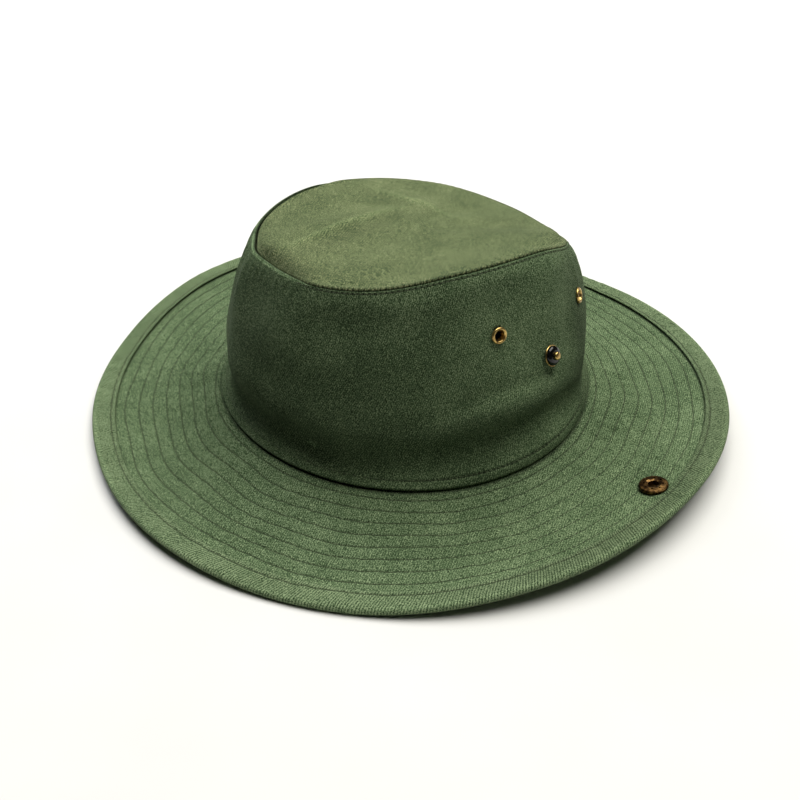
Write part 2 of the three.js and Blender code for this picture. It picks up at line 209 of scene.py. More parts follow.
TIP_FOLDS = [
    TipFold("ridge from the front corner", -22, -22, 44, 9, 82, 2),
    TipFold("hollow beside the ridge", 5, -32, 30, 12, 85, -1.6),
    TipFold("hollow by the far rim", -46, -12, 26, 13, 85, -1.2),
    TipFold("fold across the back", -20, 30, 30, 7, 0, 1.2),
    TipFold("dish by the rear", 30, 40, 30, 18, 70, -1.4),
]

# Sharper creases, too small for the part's own solids.
TIP_CREASES = [
    TipFold("pinch along the ridge", -18, -24, 42, 1.8, 90, 1.2),
    TipFold("dip beside the pinch", -11, -26, 36, 4.5, 90, -0.7),
    TipFold("pinch across the back", -18, 28, 24, 1.8, 3, 0.7),
    TipFold("shoulder of the front rim", -16, -67, 20, 5.5, 6, 1.5),
    TipFold("dent by the left rim", 66, 10, 7, 5, 80, -0.8),
]

# Painted highlights on the crests of the tip's creases, and painted shade beside the ridge and over the dish
# by the rear. The last column is how much lighter the cloth is, negative for darker.
TIP_PAINTED_LIGHT = [
    TipFold("worn crest of the ridge", -18, -28, 40, 2.4, 90, 0.4),
    TipFold("dust beside the ridge", -9, -30, 34, 6, 90, -0.14),
    TipFold("worn fold across the back", -18, 28, 26, 2.4, 3, 0.35),
    TipFold("faded rear", 35, 35, 40, 24, 60, -0.08),
]

# Painted shade of the side panel, in the same way.
SIDE_PAINTED_SHADE = [
    SideFold("dusty front corner", 345, 0.5, 27, 0.7, 0, -0.4),
    SideFold("dusty brow", 30, 0.92, 42, 0.13, 0, -0.15),
    SideFold("dusty foot", 10, 0.2, 34, 0.16, 0, -0.25),
    SideFold("dusty middle", 26, 0.48, 20, 0.26, 0, -0.22),
    SideFold("dusty roll", 66, 0.3, 26, 0.09, 0, -0.2),
    SideFold("dusty rear quarter", 112, 0.5, 14, 0.8, 0, -0.45),
]


# ---- curves and ripples ----


def around(column: str, at: Array) -> Array:
    """Value of one column of SECTIONS on a smooth closed curve through its rows.

    Args:
        column: name of the column.
        at: angles.

    Returns:
        The values at those angles.
    """
    rows = np.array([getattr(section, column) for section in SECTIONS], float)
    count = len(rows)
    place = np.mod(at, 360.0) * count / 360.0
    row = np.floor(place).astype(int)
    f = place - row
    a, b, c, d = (rows[(row + step) % count] for step in (-1, 0, 1, 2))
    return b + 0.5 * f * (c - a + f * (2 * a - 5 * b + 4 * c - d + f * (3 * (b - c) + d - a)))


def outward(at: Array) -> Array:
    """Directions that point out of the hat.

    Args:
        at: angles.

    Returns:
        A level unit vector for each angle.
    """
    a = np.radians(at)
    return np.stack([np.sin(a), -np.cos(a), np.zeros_like(a)], axis=-1)


def angle_between(a: Array, b: float) -> Array:
    """Shortest signed difference between angles, in degrees."""
    return np.mod(a - b + 540.0, 360.0) - 180.0


def bell(distance: Array, half: float) -> Array:
    """Bell shape: 1 in the middle and 0.37 at one half extent."""
    return np.exp(-((distance / half) ** 2))


def smooth(value: Array, low: float, high: float) -> Array:
    """Ease from 0 to 1.

    Args:
        value: the values.
        low: where the step starts from 0.
        high: where it reaches 1.

    Returns:
        The share at each value.
    """
    t = np.clip((value - low) / (high - low), 0.0, 1.0)
    return t * t * (3 - 2 * t)


def arc_share(at: Array, start: float, end: float, ease: float) -> Array:
    """1 between two angles and 0 elsewhere, with eased ends.

    Args:
        at: angles.
        start: where the stretch starts.
        end: where it ends, going round with rising angle.
        ease: length of each eased end in degrees.

    Returns:
        The share at each angle.
    """
    middle = start + np.mod(end - start, 360.0) / 2
    half = np.mod(end - start, 360.0) / 2
    return 1 - smooth(np.abs(angle_between(at, middle)), half - ease, half + ease)


def summed(folds: Sequence[SideFold | TipFold], first: Array, second: Array) -> Array:
    """Height of several folds together.

    Args:
        folds: the folds.
        first: angles on the side panel, or distances to the left on the tip.
        second: levels on the side panel, or distances to the back on the tip.

    Returns:
        The heights.
    """
    return sum((fold.height(first, second) for fold in folds), np.zeros(np.broadcast(first, second).shape))


@dataclass(frozen=True)
class Ripples:
    """Seeded ripples that close on themselves round the hat, with a spread of about 1.

    Args:
        fewest: fewest waves in a whole turn.
        most: most waves in a whole turn.
        across: shortest wavelength across the cloth in millimetres.
        seed: number that picks the ripples.
        waves: how many waves are summed.
        longest: longest wavelength as a multiple of the shortest.
    """

    fewest: int
    most: int
    across: float
    seed: int
    waves: int = 18
    longest: float = 2.5

    def height(self, at: Array, distance: Array) -> Array:
        """Height of the ripples.

        Args:
            at: angles.
            distance: distances across the cloth in millimetres.

        Returns:
            Heights with a spread of about 1.
        """
        draw = np.random.default_rng(self.seed)
        total = np.zeros(np.broadcast(at, distance).shape)
        for _ in range(self.waves):
            turns = draw.integers(self.fewest, self.most + 1)
            length = self.across * draw.uniform(1.0, self.longest) * draw.choice([-1, 1])
            phase = draw.uniform(0, math.tau)
            total += np.cos(turns * np.radians(at) + math.tau * distance / length + phase)
        return total / math.sqrt(self.waves / 2)


# ---- form of the hat ----


@dataclass(frozen=True)
class HatForm:
    """Driving sizes of the hat and the surfaces that follow from them.

    Lengths are in millimetres. The tuck and the brow of the side panel lie between shares of its height.
    """

    side_cloth: float = 1.5
    tip_cloth: float = 1.5
    brim_cloth: float = 1.5
    binding_cloth: float = 1.0
    gap: float = 0.3
    head_radius: float = 97.5
    brim_width: float = 68.5
    binding_width: float = 11.0
    tip_half_length: float = 81.5
    tip_half_width: float = 71.5
    tip_to_left: float = 2.0
    tip_to_back: float = 2.5
    tip_dome: float = 2.5
    corner_at: float = 334.0
    corner_half: float = 8.0
    corner_out: float = 1.8
    brow_reach: float = 0.1
    tuck_start: float = 0.012
    tuck_full: float = 0.085
    tuck_leaves: float = 0.1
    tuck_gone: float = 0.42
    edge_ease: float = 8.0
    panel_height: float = 92.0
    belly_skew: float = 1.4
    foot_hold: float = 0.08
    top_hold: float = 0.06
    curl_steps: int = 12
    warp_skew: float = 2.2
    puff_edge: int = 20
    fold_edge: int = 6
    nudge_level: float = 0.01
    nudge_turn: float = 0.5

    @property
    def bound(self) -> float:
        """Distance out from the crown seam to the inner edge of the binding."""
        return self.brim_width - self.binding_width

    def seam_point(self, at: Array) -> Array:
        """Points of the seam between side panel and tip.

        Args:
            at: angles.

        Returns:
            A point for each angle.
        """
        a = np.radians(at)
        x = self.tip_half_width * np.sin(a) + self.tip_to_left
        y = -self.tip_half_length * np.cos(a) + self.tip_to_back
        corner = self.corner_out * bell(angle_between(at, self.corner_at), self.corner_half)
        return np.stack([x, y, around("top", at)], axis=-1) + outward(at) * corner[..., None]

    def side_swell(self, at: Array, level: Array) -> Array:
        """How far the side panel stands out of the straight line between its seams.

        Args:
            at: angles.
            level: shares of the panel's height.

        Returns:
            Distances out.
        """
        up = np.maximum(level, 0.0)
        swell = around("belly", at) * np.sin(np.pi * np.minimum(up, 1.0) ** self.belly_skew)
        sunk = smooth(up, self.tuck_start, self.tuck_full)
        sunk = sunk * (1 - smooth(up, self.tuck_leaves, self.tuck_gone))
        rounding = np.maximum(0.0, 1 - (1 - up) / self.brow_reach)
        swell = swell - around("tuck", at) * sunk + around("brow", at) * up * (1 - rounding**2)
        free = np.clip(np.minimum(up / self.foot_hold, (1 - up) / self.top_hold), 0.0, 1.0)
        return swell + summed(SIDE_FOLDS, at, up) * free

    def side_surface(self, at: Array, level: Array) -> Array:
        """Points of the side panel's outer face.

        Args:
            at: angles.
            level: shares of the panel's height, 0 at the brim and 1 at the tip.

        Returns:
            Points, one for each pair.
        """
        at, level = np.broadcast_arrays(np.asarray(at, float), np.asarray(level, float))
        foot = outward(at) * around("girth", at)[..., None]
        foot[..., 2] = around("seat", at) + self.gap
        point = foot + (self.seam_point(at) - foot) * level[..., None]
        return point + outward(at) * self.side_swell(at, level)[..., None]

    def side_normal(self, at: Array, level: Array) -> Array:
        """Directions straight out of the side panel.

        Args:
            at: angles.
            level: shares of the panel's height.

        Returns:
            A unit vector for each pair.
        """
        low = np.maximum(np.asarray(level, float) - self.nudge_level, 0.0)
        up = self.side_surface(at, low + 2 * self.nudge_level) - self.side_surface(at, low)
        ahead, behind = at + self.nudge_turn, at - self.nudge_turn
        turn = self.side_surface(ahead, level) - self.side_surface(behind, level)
        normal = np.cross(turn, up)
        return normal / np.linalg.norm(normal, axis=-1, keepdims=True)

    def side_depth(self, at: Array, level: Array | float, depth: Array | float) -> Array:
        """Points inside the side panel's outer face.

        Args:
            at: angles.
            level: shares of the panel's height.
            depth: distances in from the outer face.

        Returns:
            A point for each triple.
        """
        level = level + 0 * at
        depth = np.asarray(depth, float)
        return self.side_surface(at, level) - self.side_normal(at, level) * depth[..., None]

    def brim_middle(self, at: Array, distance: Array) -> tuple[Array, Array, Array]:
        """Middle line of the brim, followed out from the crown seam in short steps.

        Args:
            at: angles.
            distance: distances out along the cloth.

        Returns:
            Reach, rise and slope at each pair.
        """
        leave = np.radians(around("leave", at))
        turn = np.radians(around("turn", at))
        step = distance / self.curl_steps
        reach = np.zeros(np.broadcast(at, distance).shape)
        rise = np.zeros_like(reach)
        for k in range(self.curl_steps):
            slope = leave + turn * (k + 0.5) * step / self.brim_width
            reach = reach + np.cos(slope) * step
            rise = rise + np.sin(slope) * step
        return reach, rise, leave + turn * distance / self.brim_width

    def half_thickness(self, distance: Array) -> Array:
        """Half the thickness of all the cloth at a distance out, which grows to the bound edge's."""
        near = smooth(distance, self.bound - self.edge_ease, self.bound)
        return self.brim_cloth / 2 + near * (self.gap + self.binding_cloth)

    def brim_layer(self, at: Array, distance: Array, above: Array) -> Array:
        """Points of the brim at a distance out and a height above its middle.

        The brim is lifted where it would sink through the floor, so that its low places lie flat.

        Args:
            at: angles.
            distance: distances out from the crown seam.
            above: heights above the middle of the cloth.

        Returns:
            Points, one for each triple.
        """
        reach, rise, slope = self.brim_middle(at, distance)
        share = 1 - distance / self.brim_width
        middle = around("seat", at) + rise - self.brim_cloth / 2 * share
        lift = np.maximum(0.0, self.half_thickness(distance) * np.cos(slope) - middle)
        inset = (self.head_radius - around("girth", at)) * share
        radius = self.head_radius - inset + reach - above * np.sin(slope)
        point = outward(at + 0 * distance) * radius[..., None]
        point[..., 2] = np.maximum(0.0, middle + lift + above * np.cos(slope))
        return point

    def tip_tilt(self) -> tuple[float, float, float]:
        """Plane through the tip seam.

        Returns:
            Its rise to the left, its rise to the front and its middle height.
        """
        at = np.radians([section.at for section in SECTIONS])
        top = np.array([section.top for section in SECTIONS], float)
        share = 2 / len(SECTIONS)
        to_left, to_front = (top * np.sin(at)).sum() * share, (top * np.cos(at)).sum() * share
        return float(to_left), float(to_front), float(top.mean())

    def tip_layer(self, at: Array, share: Array, depth: float = 0.0) -> Array:
        """Points of the tip at a share of the way to its rim, and a depth below its top.

        Args:
            at: angles.
            share: 0 in the middle of the tip and 1 at its rim.
            depth: distance below the top face.

        Returns:
            Points, one for each pair.
        """
        rim = self.side_depth(at, 1.0, self.side_cloth + self.gap)
        to_left, to_front, middle = self.tip_tilt()
        a = np.radians(at)
        plane = to_left * np.sin(a) + to_front * np.cos(a)
        warp = rim[..., 2] - middle - plane
        x = self.tip_to_left + (rim[..., 0] - self.tip_to_left) * share
        y = self.tip_to_back + (rim[..., 1] - self.tip_to_back) * share
        puff = around("puff", at) * share**2 * (1 - share**self.puff_edge)
        folds = summed(TIP_FOLDS, x, y) * (1 - share**self.fold_edge)
        slack = self.tip_dome * (1 - share**2) + puff + folds
        height = middle + plane * share + warp * share**self.warp_skew + slack
        return np.stack([x, y, height - depth], axis=-1)

    def tip_covers(self, at: Array) -> Array:
        """How far the tip's edge rolls out over the top of the side panel, from 0 to 1."""
        return arc_share(at, 2, 262, 8)


FORM = HatForm()


@dataclass(frozen=True)
class Hole:
    """A round hole punched through the cloth for a fitting.

    Args:
        at: angle of its middle.
        place: level on the side panel, or distance out from the crown seam on the brim.
        radius: its radius in millimetres.
    """

    at: float
    place: float
    radius: float


EYELET_FRONT = Hole(69, 0.7, 2.95)
EYELET_REAR = Hole(110.5, 0.715, 2.95)
STUD = Hole(88.3, 0.503, 1.95)
SOCKET = Hole(90, 50, 3.55)


# ---- stitch rows ----


@dataclass(frozen=True)
class StitchRow:
    """A row of stitches round the hat.

    Args:
        name: what it holds.
        radius: rough radius of the row in millimetres.
        pitch: length of one stitch in millimetres.
        slip: share of a stitch by which the row is shifted.
    """

    name: str
    radius: float
    pitch: float = 2.6
    slip: float = 0.0

    @property
    def count(self) -> int:
        """Number of stitches in a whole turn."""
        return round(math.tau * self.radius / self.pitch)

    def holes(self, at: Array) -> Array:
        """1 at the needle holes and 0 between them."""
        phase = self.count * at / 360.0 + self.slip
        return (0.5 + 0.5 * np.cos(math.tau * phase)) ** 3

    def middles(self) -> Array:
        """Angles of the middles of the stitches."""
        return (np.arange(self.count) + 0.5 - self.slip) * 360.0 / self.count


@dataclass(frozen=True)
class SeamLine:
    """A ridge, groove or dark line that runs along a seam or a row of stitches.

    Args:
        place: distance of its middle from the edge that it follows, in millimetres.
        half: half its width in millimetres.
        amount: its height in millimetres or its darkness as a share.
        at_holes: amount added at the needle holes.
    """

    place: float
    half: float
    amount: float
    at_holes: float = 0.0

    def across(self, distance: Array, holes: Array | float = 0.0) -> Array:
        """Amount at a distance from the edge, where holes is 1 at the needle holes and 0 between them."""
        return (self.amount + self.at_holes * holes) * bell(distance - self.place, self.half)


# ---- meshes ----


@dataclass
class Cloth:
    """Points of a closed piece of cloth and what its finish needs, before it is a mesh.

    Args:
        name: name of the piece.
        points: one ring of the section for each step round the hat, in millimetres.
        plan: place of each point on the cut cloth in millimetres, one step longer each way than points.
        shade: how dark the cloth is at each point, 1 where it is plain; it carries painted shade and painted
            highlights as well as the cloth's own darker places.
    """

    name: str
    points: Array
    plan: Array
    shade: Array

    def ring(self) -> bpy.types.Object:
        """Make a mesh that is closed round the hat and round its section.

        Returns:
            The new object, with its place in its mesh.
        """
        steps, count = self.points.shape[:2]
        i, j = np.meshgrid(np.arange(steps), np.arange(count), indexing="ij")
        ahead, beside = (i + 1) % steps, (j + 1) % count
        corners = [i * count + j, ahead * count + j, ahead * count + beside, i * count + beside]
        faces = np.stack(corners, axis=-1).reshape(-1, 4)
        plan = [self.plan[i, j], self.plan[i + 1, j], self.plan[i + 1, j + 1], self.plan[i, j + 1]]
        plan = np.stack(plan, axis=2).reshape(-1, 4, 2)
        return self._mesh(self.points.reshape(-1, 3), faces, plan, self.shade.reshape(-1))

    def disc(self) -> bpy.types.Object:
        """Make a mesh whose section starts and ends on the middle of the hat.

        Returns:
            The new object, with its place in its mesh.
        """
        steps, count = self.points.shape[0], self.points.shape[1] - 2
        top_pole, under_pole = steps * count, steps * count + 1
        inner_points, inner_shade = self.points[:, 1:-1].reshape(-1, 3), self.shade[:, 1:-1].reshape(-1)
        points = np.concatenate([inner_points, self.points[:1, 0], self.points[:1, -1]])
        shade = np.concatenate([inner_shade, self.shade[:1, 0], self.shade[:1, -1]])
        i, j = np.meshgrid(np.arange(steps), np.arange(count - 1), indexing="ij")
        ahead = (i + 1) % steps
        corners = [i * count + j, ahead * count + j, ahead * count + j + 1, i * count + j + 1]
        quads = np.stack(corners, axis=-1).reshape(-1, 4)
        first = np.arange(steps) * count
        after = np.roll(first, -1)
        end, end_after = first + count - 1, after + count - 1
        top = np.stack([np.full(steps, top_pole), after, first, first], axis=-1)
        under = np.stack([np.full(steps, under_pole), end, end_after, end_after], axis=-1)
        faces = np.concatenate([quads, top, under])
        return self._mesh(points, faces, points[:, :2][faces], shade)

    def _mesh(self, points: Array, faces: Array, plan: Array, shade: Array) -> bpy.types.Object:
        """Turn points and faces into an object with its plan as a UV map and its shade as an attribute.

        Args:
            points: the points in millimetres.
            faces: four point numbers a face, the last one doubled for a triangle.
            plan: place on the cut cloth of each face corner in millimetres.
            shade: how dark the cloth is at each point.

        Returns:
            The new object.
        """
        first, second, third, fourth = (points[faces[:, k]] for k in range(4))
        volume = (first * np.cross(second, third)).sum() + (first * np.cross(third, fourth)).sum()
        if volume < 0:
            faces, plan = faces[:, ::-1], plan[:, ::-1]
        keep = faces != np.roll(faces, 1, axis=1)
        rows = [row[own].tolist() for row, own in zip(faces, keep)]
        mesh = bpy.data.meshes.new(self.name)
        mesh.from_pydata((points * MM).tolist(), [], rows)
        corners = mesh.uv_layers.new(name="cloth_plan")
        corners.data.foreach_set("uv", (plan[keep].reshape(-1) * MM).astype(np.float32))
        layer = mesh.attributes.new("shade", "FLOAT", "POINT")
        layer.data.foreach_set("value", shade.astype(np.float32))
        mesh.polygons.foreach_set("use_smooth", np.ones(len(mesh.polygons), bool))
        mesh.update()
        piece = bpy.data.objects.new(self.name, mesh)
        bpy.context.scene.collection.objects.link(piece)
        return piece


def wrapped(values: Array) -> Array:
    """The same grid with its first row and column repeated at the end."""
    return np.pad(values, [(0, 1), (0, 1)] + [(0, 0)] * (values.ndim - 2), mode="wrap")


def spaced(start: float, end: float, step: float) -> Array:
    """Evenly spaced values, both ends included.

    Args:
        start: first value.
        end: last value.
        step: rough distance between values.

    Returns:
        The values.
    """
    return np.linspace(start, end, max(2, round(abs(end - start) / step) + 1))


def merged(*parts: Sequence[float] | Array) -> Array:
    """Sorted values without near doubles.

    Args:
        parts: lists of values.

    Returns:
        All the values in rising order.
    """
    values = np.sort(np.concatenate([np.atleast_1d(part) for part in parts]))
    keep = np.concatenate([[True], np.diff(values) > 1e-4])
    return values[keep]


# ---- materials ----


def linear(code: str) -> tuple[float, float, float, float]:
    """Turn an sRGB hex colour into linear light.

    Args:
        code: six hex digits after a hash.

    Returns:
        The colour as red, green, blue and full alpha.
    """
    parts = [int(code[k : k + 2], 16) / 255 for k in (1, 3, 5)]
    red, green, blue = (c / 12.92 if c <= 0.04045 else ((c + 0.055) / 1.055) ** 2.4 for c in parts)
    return (red, green, blue, 1.0)


def add_node(
    tree: bpy.types.NodeTree,
    kind: str,
    settings: dict | None = None,
    links: dict | None = None,
    stops: Sequence[tuple[float, str]] = (),
) -> bpy.types.Node:
    """Add a node with its settings and links.

    Args:
        tree: node tree that it goes in.
        kind: type of the node.
        settings: a number or a name sets an input, and a name that starts with a point sets a property.
        links: output socket for each input.
        stops: place and hex colour of each stop of a colour ramp, in rising order.

    Returns:
        The new node.
    """
    node = tree.nodes.new(kind)
    for key, value in (settings or {}).items():
        if isinstance(key, str) and key.startswith("."):
            setattr(node, key[1:], value)
        else:
            node.inputs[key].default_value = value
    for key, output in (links or {}).items():
        tree.links.new(output, node.inputs[key])
    for index, (place, code) in enumerate(stops):
        elements = node.color_ramp.elements
        element = elements[index] if index < 2 else elements.new(place)
        element.position = place
        element.color = linear(code)
    return node


def new_material(name: str) -> tuple[bpy.types.Material, bpy.types.NodeTree, bpy.types.Node]:
    """Start a material.

    Args:
        name: name of the finish.

    Returns:
        The material, its node tree and its shader.
    """
    material = bpy.data.materials.new(name)
    material.use_nodes = True
    tree = material.node_tree
    return material, tree, tree.nodes["Principled BSDF"]


# Blender's wave texture turns by 20 radians over one unit at a scale of 1.
WAVE_TURN = 20


@dataclass(frozen=True)
class CottonTwill:
    """Dyed cotton twill. Its slanting ribs and speckled yarns give the eye a fine, dry, grainy green.

    The ribs are drawn a little coarser than the real 0.8 mm, so that they show.

    Args:
        name: name of the finish.
        slant: direction across the ribs on the cut cloth, in degrees.
        rib: distance between ribs in millimetres.
        ribbed: how strongly the ribs show beside the speckle.
        yarn: size of the speckle of the yarns in millimetres.
        cloud: size of the soft clouds of the dye in millimetres.
        clouded: how strongly the clouds show.
        deep: colour between the ribs.
        body: colour of the cloth.
        worn_and_painted_light: colour of the tops of the ribs.
        darkest: grain at which the colour is deep.
        palest: grain at which it is worn.
        relief: height of the ribs in millimetres.
    """

    name: str
    slant: float = 20.0
    rib: float = 1.05
    ribbed: float = 0.07
    yarn: float = 0.5
    cloud: float = 22.0
    clouded: float = 0.12
    deep: str = "#1c2716"
    body: str = "#465a3d"
    worn_and_painted_light: str = "#8a9b76"
    darkest: float = 0.43
    palest: float = 0.765
    relief: float = 0.2

    def make(self) -> bpy.types.Material:
        """Build the finish.

        Returns:
            The material.
        """
        material, tree, shader = new_material(self.name)
        grain, level = self.pattern(tree)
        spread = add_node(
            tree, "ShaderNodeMapRange", {"From Min": self.darkest, "From Max": self.palest}, {"Value": level}
        )
        stops = ((0.0, self.deep), (0.5, self.body), (1.0, self.worn_and_painted_light))
        dye = add_node(tree, "ShaderNodeValToRGB", links={"Fac": spread.outputs["Result"]}, stops=stops)
        # The shade attribute darkens or lightens the dye: painted shade in seams, rows and shaded places,
        # and painted highlights on crests and edges.
        shade = add_node(tree, "ShaderNodeAttribute", {".attribute_name": "shade"})
        dimmed = add_node(
            tree,
            "ShaderNodeMix",
            {".data_type": "RGBA", ".blend_type": "MULTIPLY", "Factor": 1.0},
            {"A": dye.outputs["Color"], "B": shade.outputs["Fac"]},
        )
        bump = add_node(
            tree, "ShaderNodeBump", {"Strength": 0.8, "Distance": self.relief * MM}, {"Height": grain}
        )
        tree.links.new(dimmed.outputs["Result"], shader.inputs["Base Color"])
        tree.links.new(bump.outputs["Normal"], shader.inputs["Normal"])
        shader.inputs["Roughness"].default_value = 0.92
        shader.inputs["Specular IOR Level"].default_value = 0.1
        return material

    def pattern(self, tree: bpy.types.NodeTree) -> tuple[bpy.types.NodeSocket, bpy.types.NodeSocket]:
        """Draw ribs on the cut cloth, and the speckle of the yarns and the clouds of the dye in space.

        Args:
            tree: node tree of the material.

        Returns:
            Height of the weave, and the same with the clouds added.
        """
        plan = add_node(tree, "ShaderNodeUVMap", {".uv_map": "cloth_plan"})
        solid = add_node(tree, "ShaderNodeTexCoord").outputs["Object"]
        turned = add_node(
            tree,
            "ShaderNodeMapping",
            {"Rotation": (0, 0, math.radians(-self.slant))},
            {"Vector": plan.outputs["UV"]},
        )
        ribs = add_node(
            tree,
            "ShaderNodeTexWave",
            {
                ".wave_type": "BANDS",
                ".bands_direction": "X",
                "Scale": math.tau / (WAVE_TURN * self.rib * MM),
                "Distortion": 3.0,
                "Detail": 3.0,
                "Detail Scale": 0.5,
            },
            {"Vector": turned.outputs["Vector"]},
        )
        yarns = {"Scale": 1 / (self.yarn * MM), "Detail": 2.0, "Roughness": 0.65}
        speckle = add_node(tree, "ShaderNodeTexNoise", yarns, {"Vector": solid})
        clouds = {"Scale": 1 / (self.cloud * MM), "Detail": 3.0, "Roughness": 0.55}
        fade = add_node(tree, "ShaderNodeTexNoise", clouds, {"Vector": solid})
        grain = add_node(
            tree,
            "ShaderNodeMath",
            {".operation": "MULTIPLY_ADD", 1: self.ribbed},
            {0: ribs.outputs["Fac"], 2: speckle.outputs["Fac"]},
        )
        level = add_node(
            tree,
            "ShaderNodeMath",
            {".operation": "MULTIPLY_ADD", 1: self.clouded},
            {0: fade.outputs["Fac"], 2: grain.outputs["Value"]},
        )
        return grain.outputs["Value"], level.outputs["Value"]


@dataclass(frozen=True)
class SpunThread:
    """Spun polyester sewing thread. Its twist gives each stitch a faint, broken grain.

    Args:
        name: name of the finish.
        twist: size of the grain in millimetres.
        dark: colour between the plies.
        light: colour of the plies.
    """

    name: str = "spun_polyester_thread"
    twist: float = 0.5
    dark: str = "#232d19"
    light: str = "#43522f"

    def make(self) -> bpy.types.Material:
        """Build the finish.

        Returns:
            The material.
        """
        material, tree, shader = new_material(self.name)
        solid = add_node(tree, "ShaderNodeTexCoord").outputs["Object"]
        grain = {"Scale": 1 / (self.twist * MM), "Detail": 1.0}
        plies = add_node(tree, "ShaderNodeTexNoise", grain, {"Vector": solid}).outputs["Fac"]
        stops = ((0.3, self.dark), (0.7, self.light))
        colour = add_node(tree, "ShaderNodeValToRGB", links={"Fac": plies}, stops=stops)
        bump = add_node(tree, "ShaderNodeBump", {"Strength": 0.5, "Distance": 0.08 * MM}, {"Height": plies})
        tree.links.new(colour.outputs["Color"], shader.inputs["Base Color"])
        tree.links.new(bump.outputs["Normal"], shader.inputs["Normal"])
        shader.inputs["Roughness"].default_value = 0.75
        return material


@dataclass(frozen=True)
class AgedBrass:
    """Stamped brass. It is dull and brown where it has darkened, and bright on rubbed places.

    Args:
        name: name of the finish.
        bright: colour where it is rubbed.
        dull: colour where it has darkened.
        roughness: how much the metal blurs what it reflects.
        wear: place of the change between dull and bright, lower for more bright metal.
        blend: half the width of that change.
        stain: size of the stains in millimetres.
        pit: size of the fine pits in millimetres.
    """

    name: str
    bright: str
    dull: str
    roughness: float
    wear: float
    blend: float = 0.12
    stain: float = 2.2
    pit: float = 0.35

    def make(self) -> bpy.types.Material:
        """Build the finish.

        Returns:
            The material.
        """
        material, tree, shader = new_material(self.name)
        solid = add_node(tree, "ShaderNodeTexCoord").outputs["Object"]
        stains = {"Scale": 1 / (self.stain * MM), "Detail": 4.0, "Roughness": 0.6}
        stain = add_node(tree, "ShaderNodeTexNoise", stains, {"Vector": solid}).outputs["Fac"]
        stops = ((self.wear - self.blend, self.dull), (self.wear + self.blend, self.bright))
        colour = add_node(tree, "ShaderNodeValToRGB", links={"Fac": stain}, stops=stops)
        rougher, smoother = self.roughness + 0.12, self.roughness - 0.06
        blur = {"From Min": 0.3, "From Max": 0.7, "To Min": rougher, "To Max": smoother}
        rough = add_node(tree, "ShaderNodeMapRange", blur, {"Value": stain})
        pitting = {"Scale": 1 / (self.pit * MM), "Detail": 2.0}
        pits = add_node(tree, "ShaderNodeTexNoise", pitting, {"Vector": solid}).outputs["Fac"]
        bump = add_node(tree, "ShaderNodeBump", {"Strength": 0.35, "Distance": 0.04 * MM}, {"Height": pits})
        tree.links.new(colour.outputs["Color"], shader.inputs["Base Color"])
        tree.links.new(rough.outputs["Result"], shader.inputs["Roughness"])
        tree.links.new(bump.outputs["Normal"], shader.inputs["Normal"])
        shader.inputs["Metallic"].default_value = 1.0
        return material


@dataclass(frozen=True)
class BlackLacquer:
    """Baked black lacquer on stamped metal. It gives the stud its hard, dark, rounded glint.

    Args:
        name: name of the finish.
        dust_and_painted_shade: size of the dusty patches in millimetres.
        clean: colour of the lacquer.
        dusty_and_painted_shade: colour where dust lies.
    """

    name: str = "baked_black_lacquer"
    dust_and_painted_shade: float = 1.2
    clean: str = "#050505"
    dusty_and_painted_shade: str = "#12110f"

    def make(self) -> bpy.types.Material:
        """Build the finish.

        Returns:
            The material.
        """
        material, tree, shader = new_material(self.name)
        solid = add_node(tree, "ShaderNodeTexCoord").outputs["Object"]
        patches = {"Scale": 1 / (self.dust_and_painted_shade * MM), "Detail": 3.0}
        dust_and_painted_shade = add_node(tree, "ShaderNodeTexNoise", patches, {"Vector": solid}).outputs["Fac"]
        stops = ((0.35, self.clean), (0.75, self.dusty_and_painted_shade))
        colour = add_node(tree, "ShaderNodeValToRGB", links={"Fac": dust_and_painted_shade}, stops=stops)
        rough = add_node(tree, "ShaderNodeMapRange", {"To Min": 0.1, "To Max": 0.28}, {"Value": dust_and_painted_shade})
        tree.links.new(colour.outputs["Color"], shader.inputs["Base Color"])
        tree.links.new(rough.outputs["Result"], shader.inputs["Roughness"])
        shader.inputs["Specular IOR Level"].default_value = 0.25
        shader.inputs["Coat Weight"].default_value = 0.2
        shader.inputs["Coat Roughness"].default_value = 0.06
        return material


@dataclass(frozen=True)
class StudioFloor:
    """Matt white painted board, so plain that only the hat's soft shadow shows on it.

    Args:
        name: name of the finish.
        patch: size of its faint unevenness in millimetres.
        dark: its darker colour.
        light: its lighter colour.
    """

    name: str = "matt_white_board"
    patch: float = 60.0
    dark: str = "#d2d2d1"
    light: str = "#d5d5d4"

    def make(self) -> bpy.types.Material:
        """Build the finish.

        Returns:
            The material.
        """
        material, tree, shader = new_material(self.name)
        solid = add_node(tree, "ShaderNodeTexCoord").outputs["Object"]
        patches = {"Scale": 1 / (self.patch * MM), "Detail": 2.0}
        paint = add_node(tree, "ShaderNodeTexNoise", patches, {"Vector": solid}).outputs["Fac"]
        stops = ((0.3, self.dark), (0.7, self.light))
        colour = add_node(tree, "ShaderNodeValToRGB", links={"Fac": paint}, stops=stops)
        tree.links.new(colour.outputs["Color"], shader.inputs["Base Color"])
        shader.inputs["Roughness"].default_value = 0.95
        return material


class Slot(Enum):
    """The record's material slots, passed along with each piece but not read."""

    TWILL = "green_twill"
    BRASS = "brass"
    BLACK = "black_lacquer"


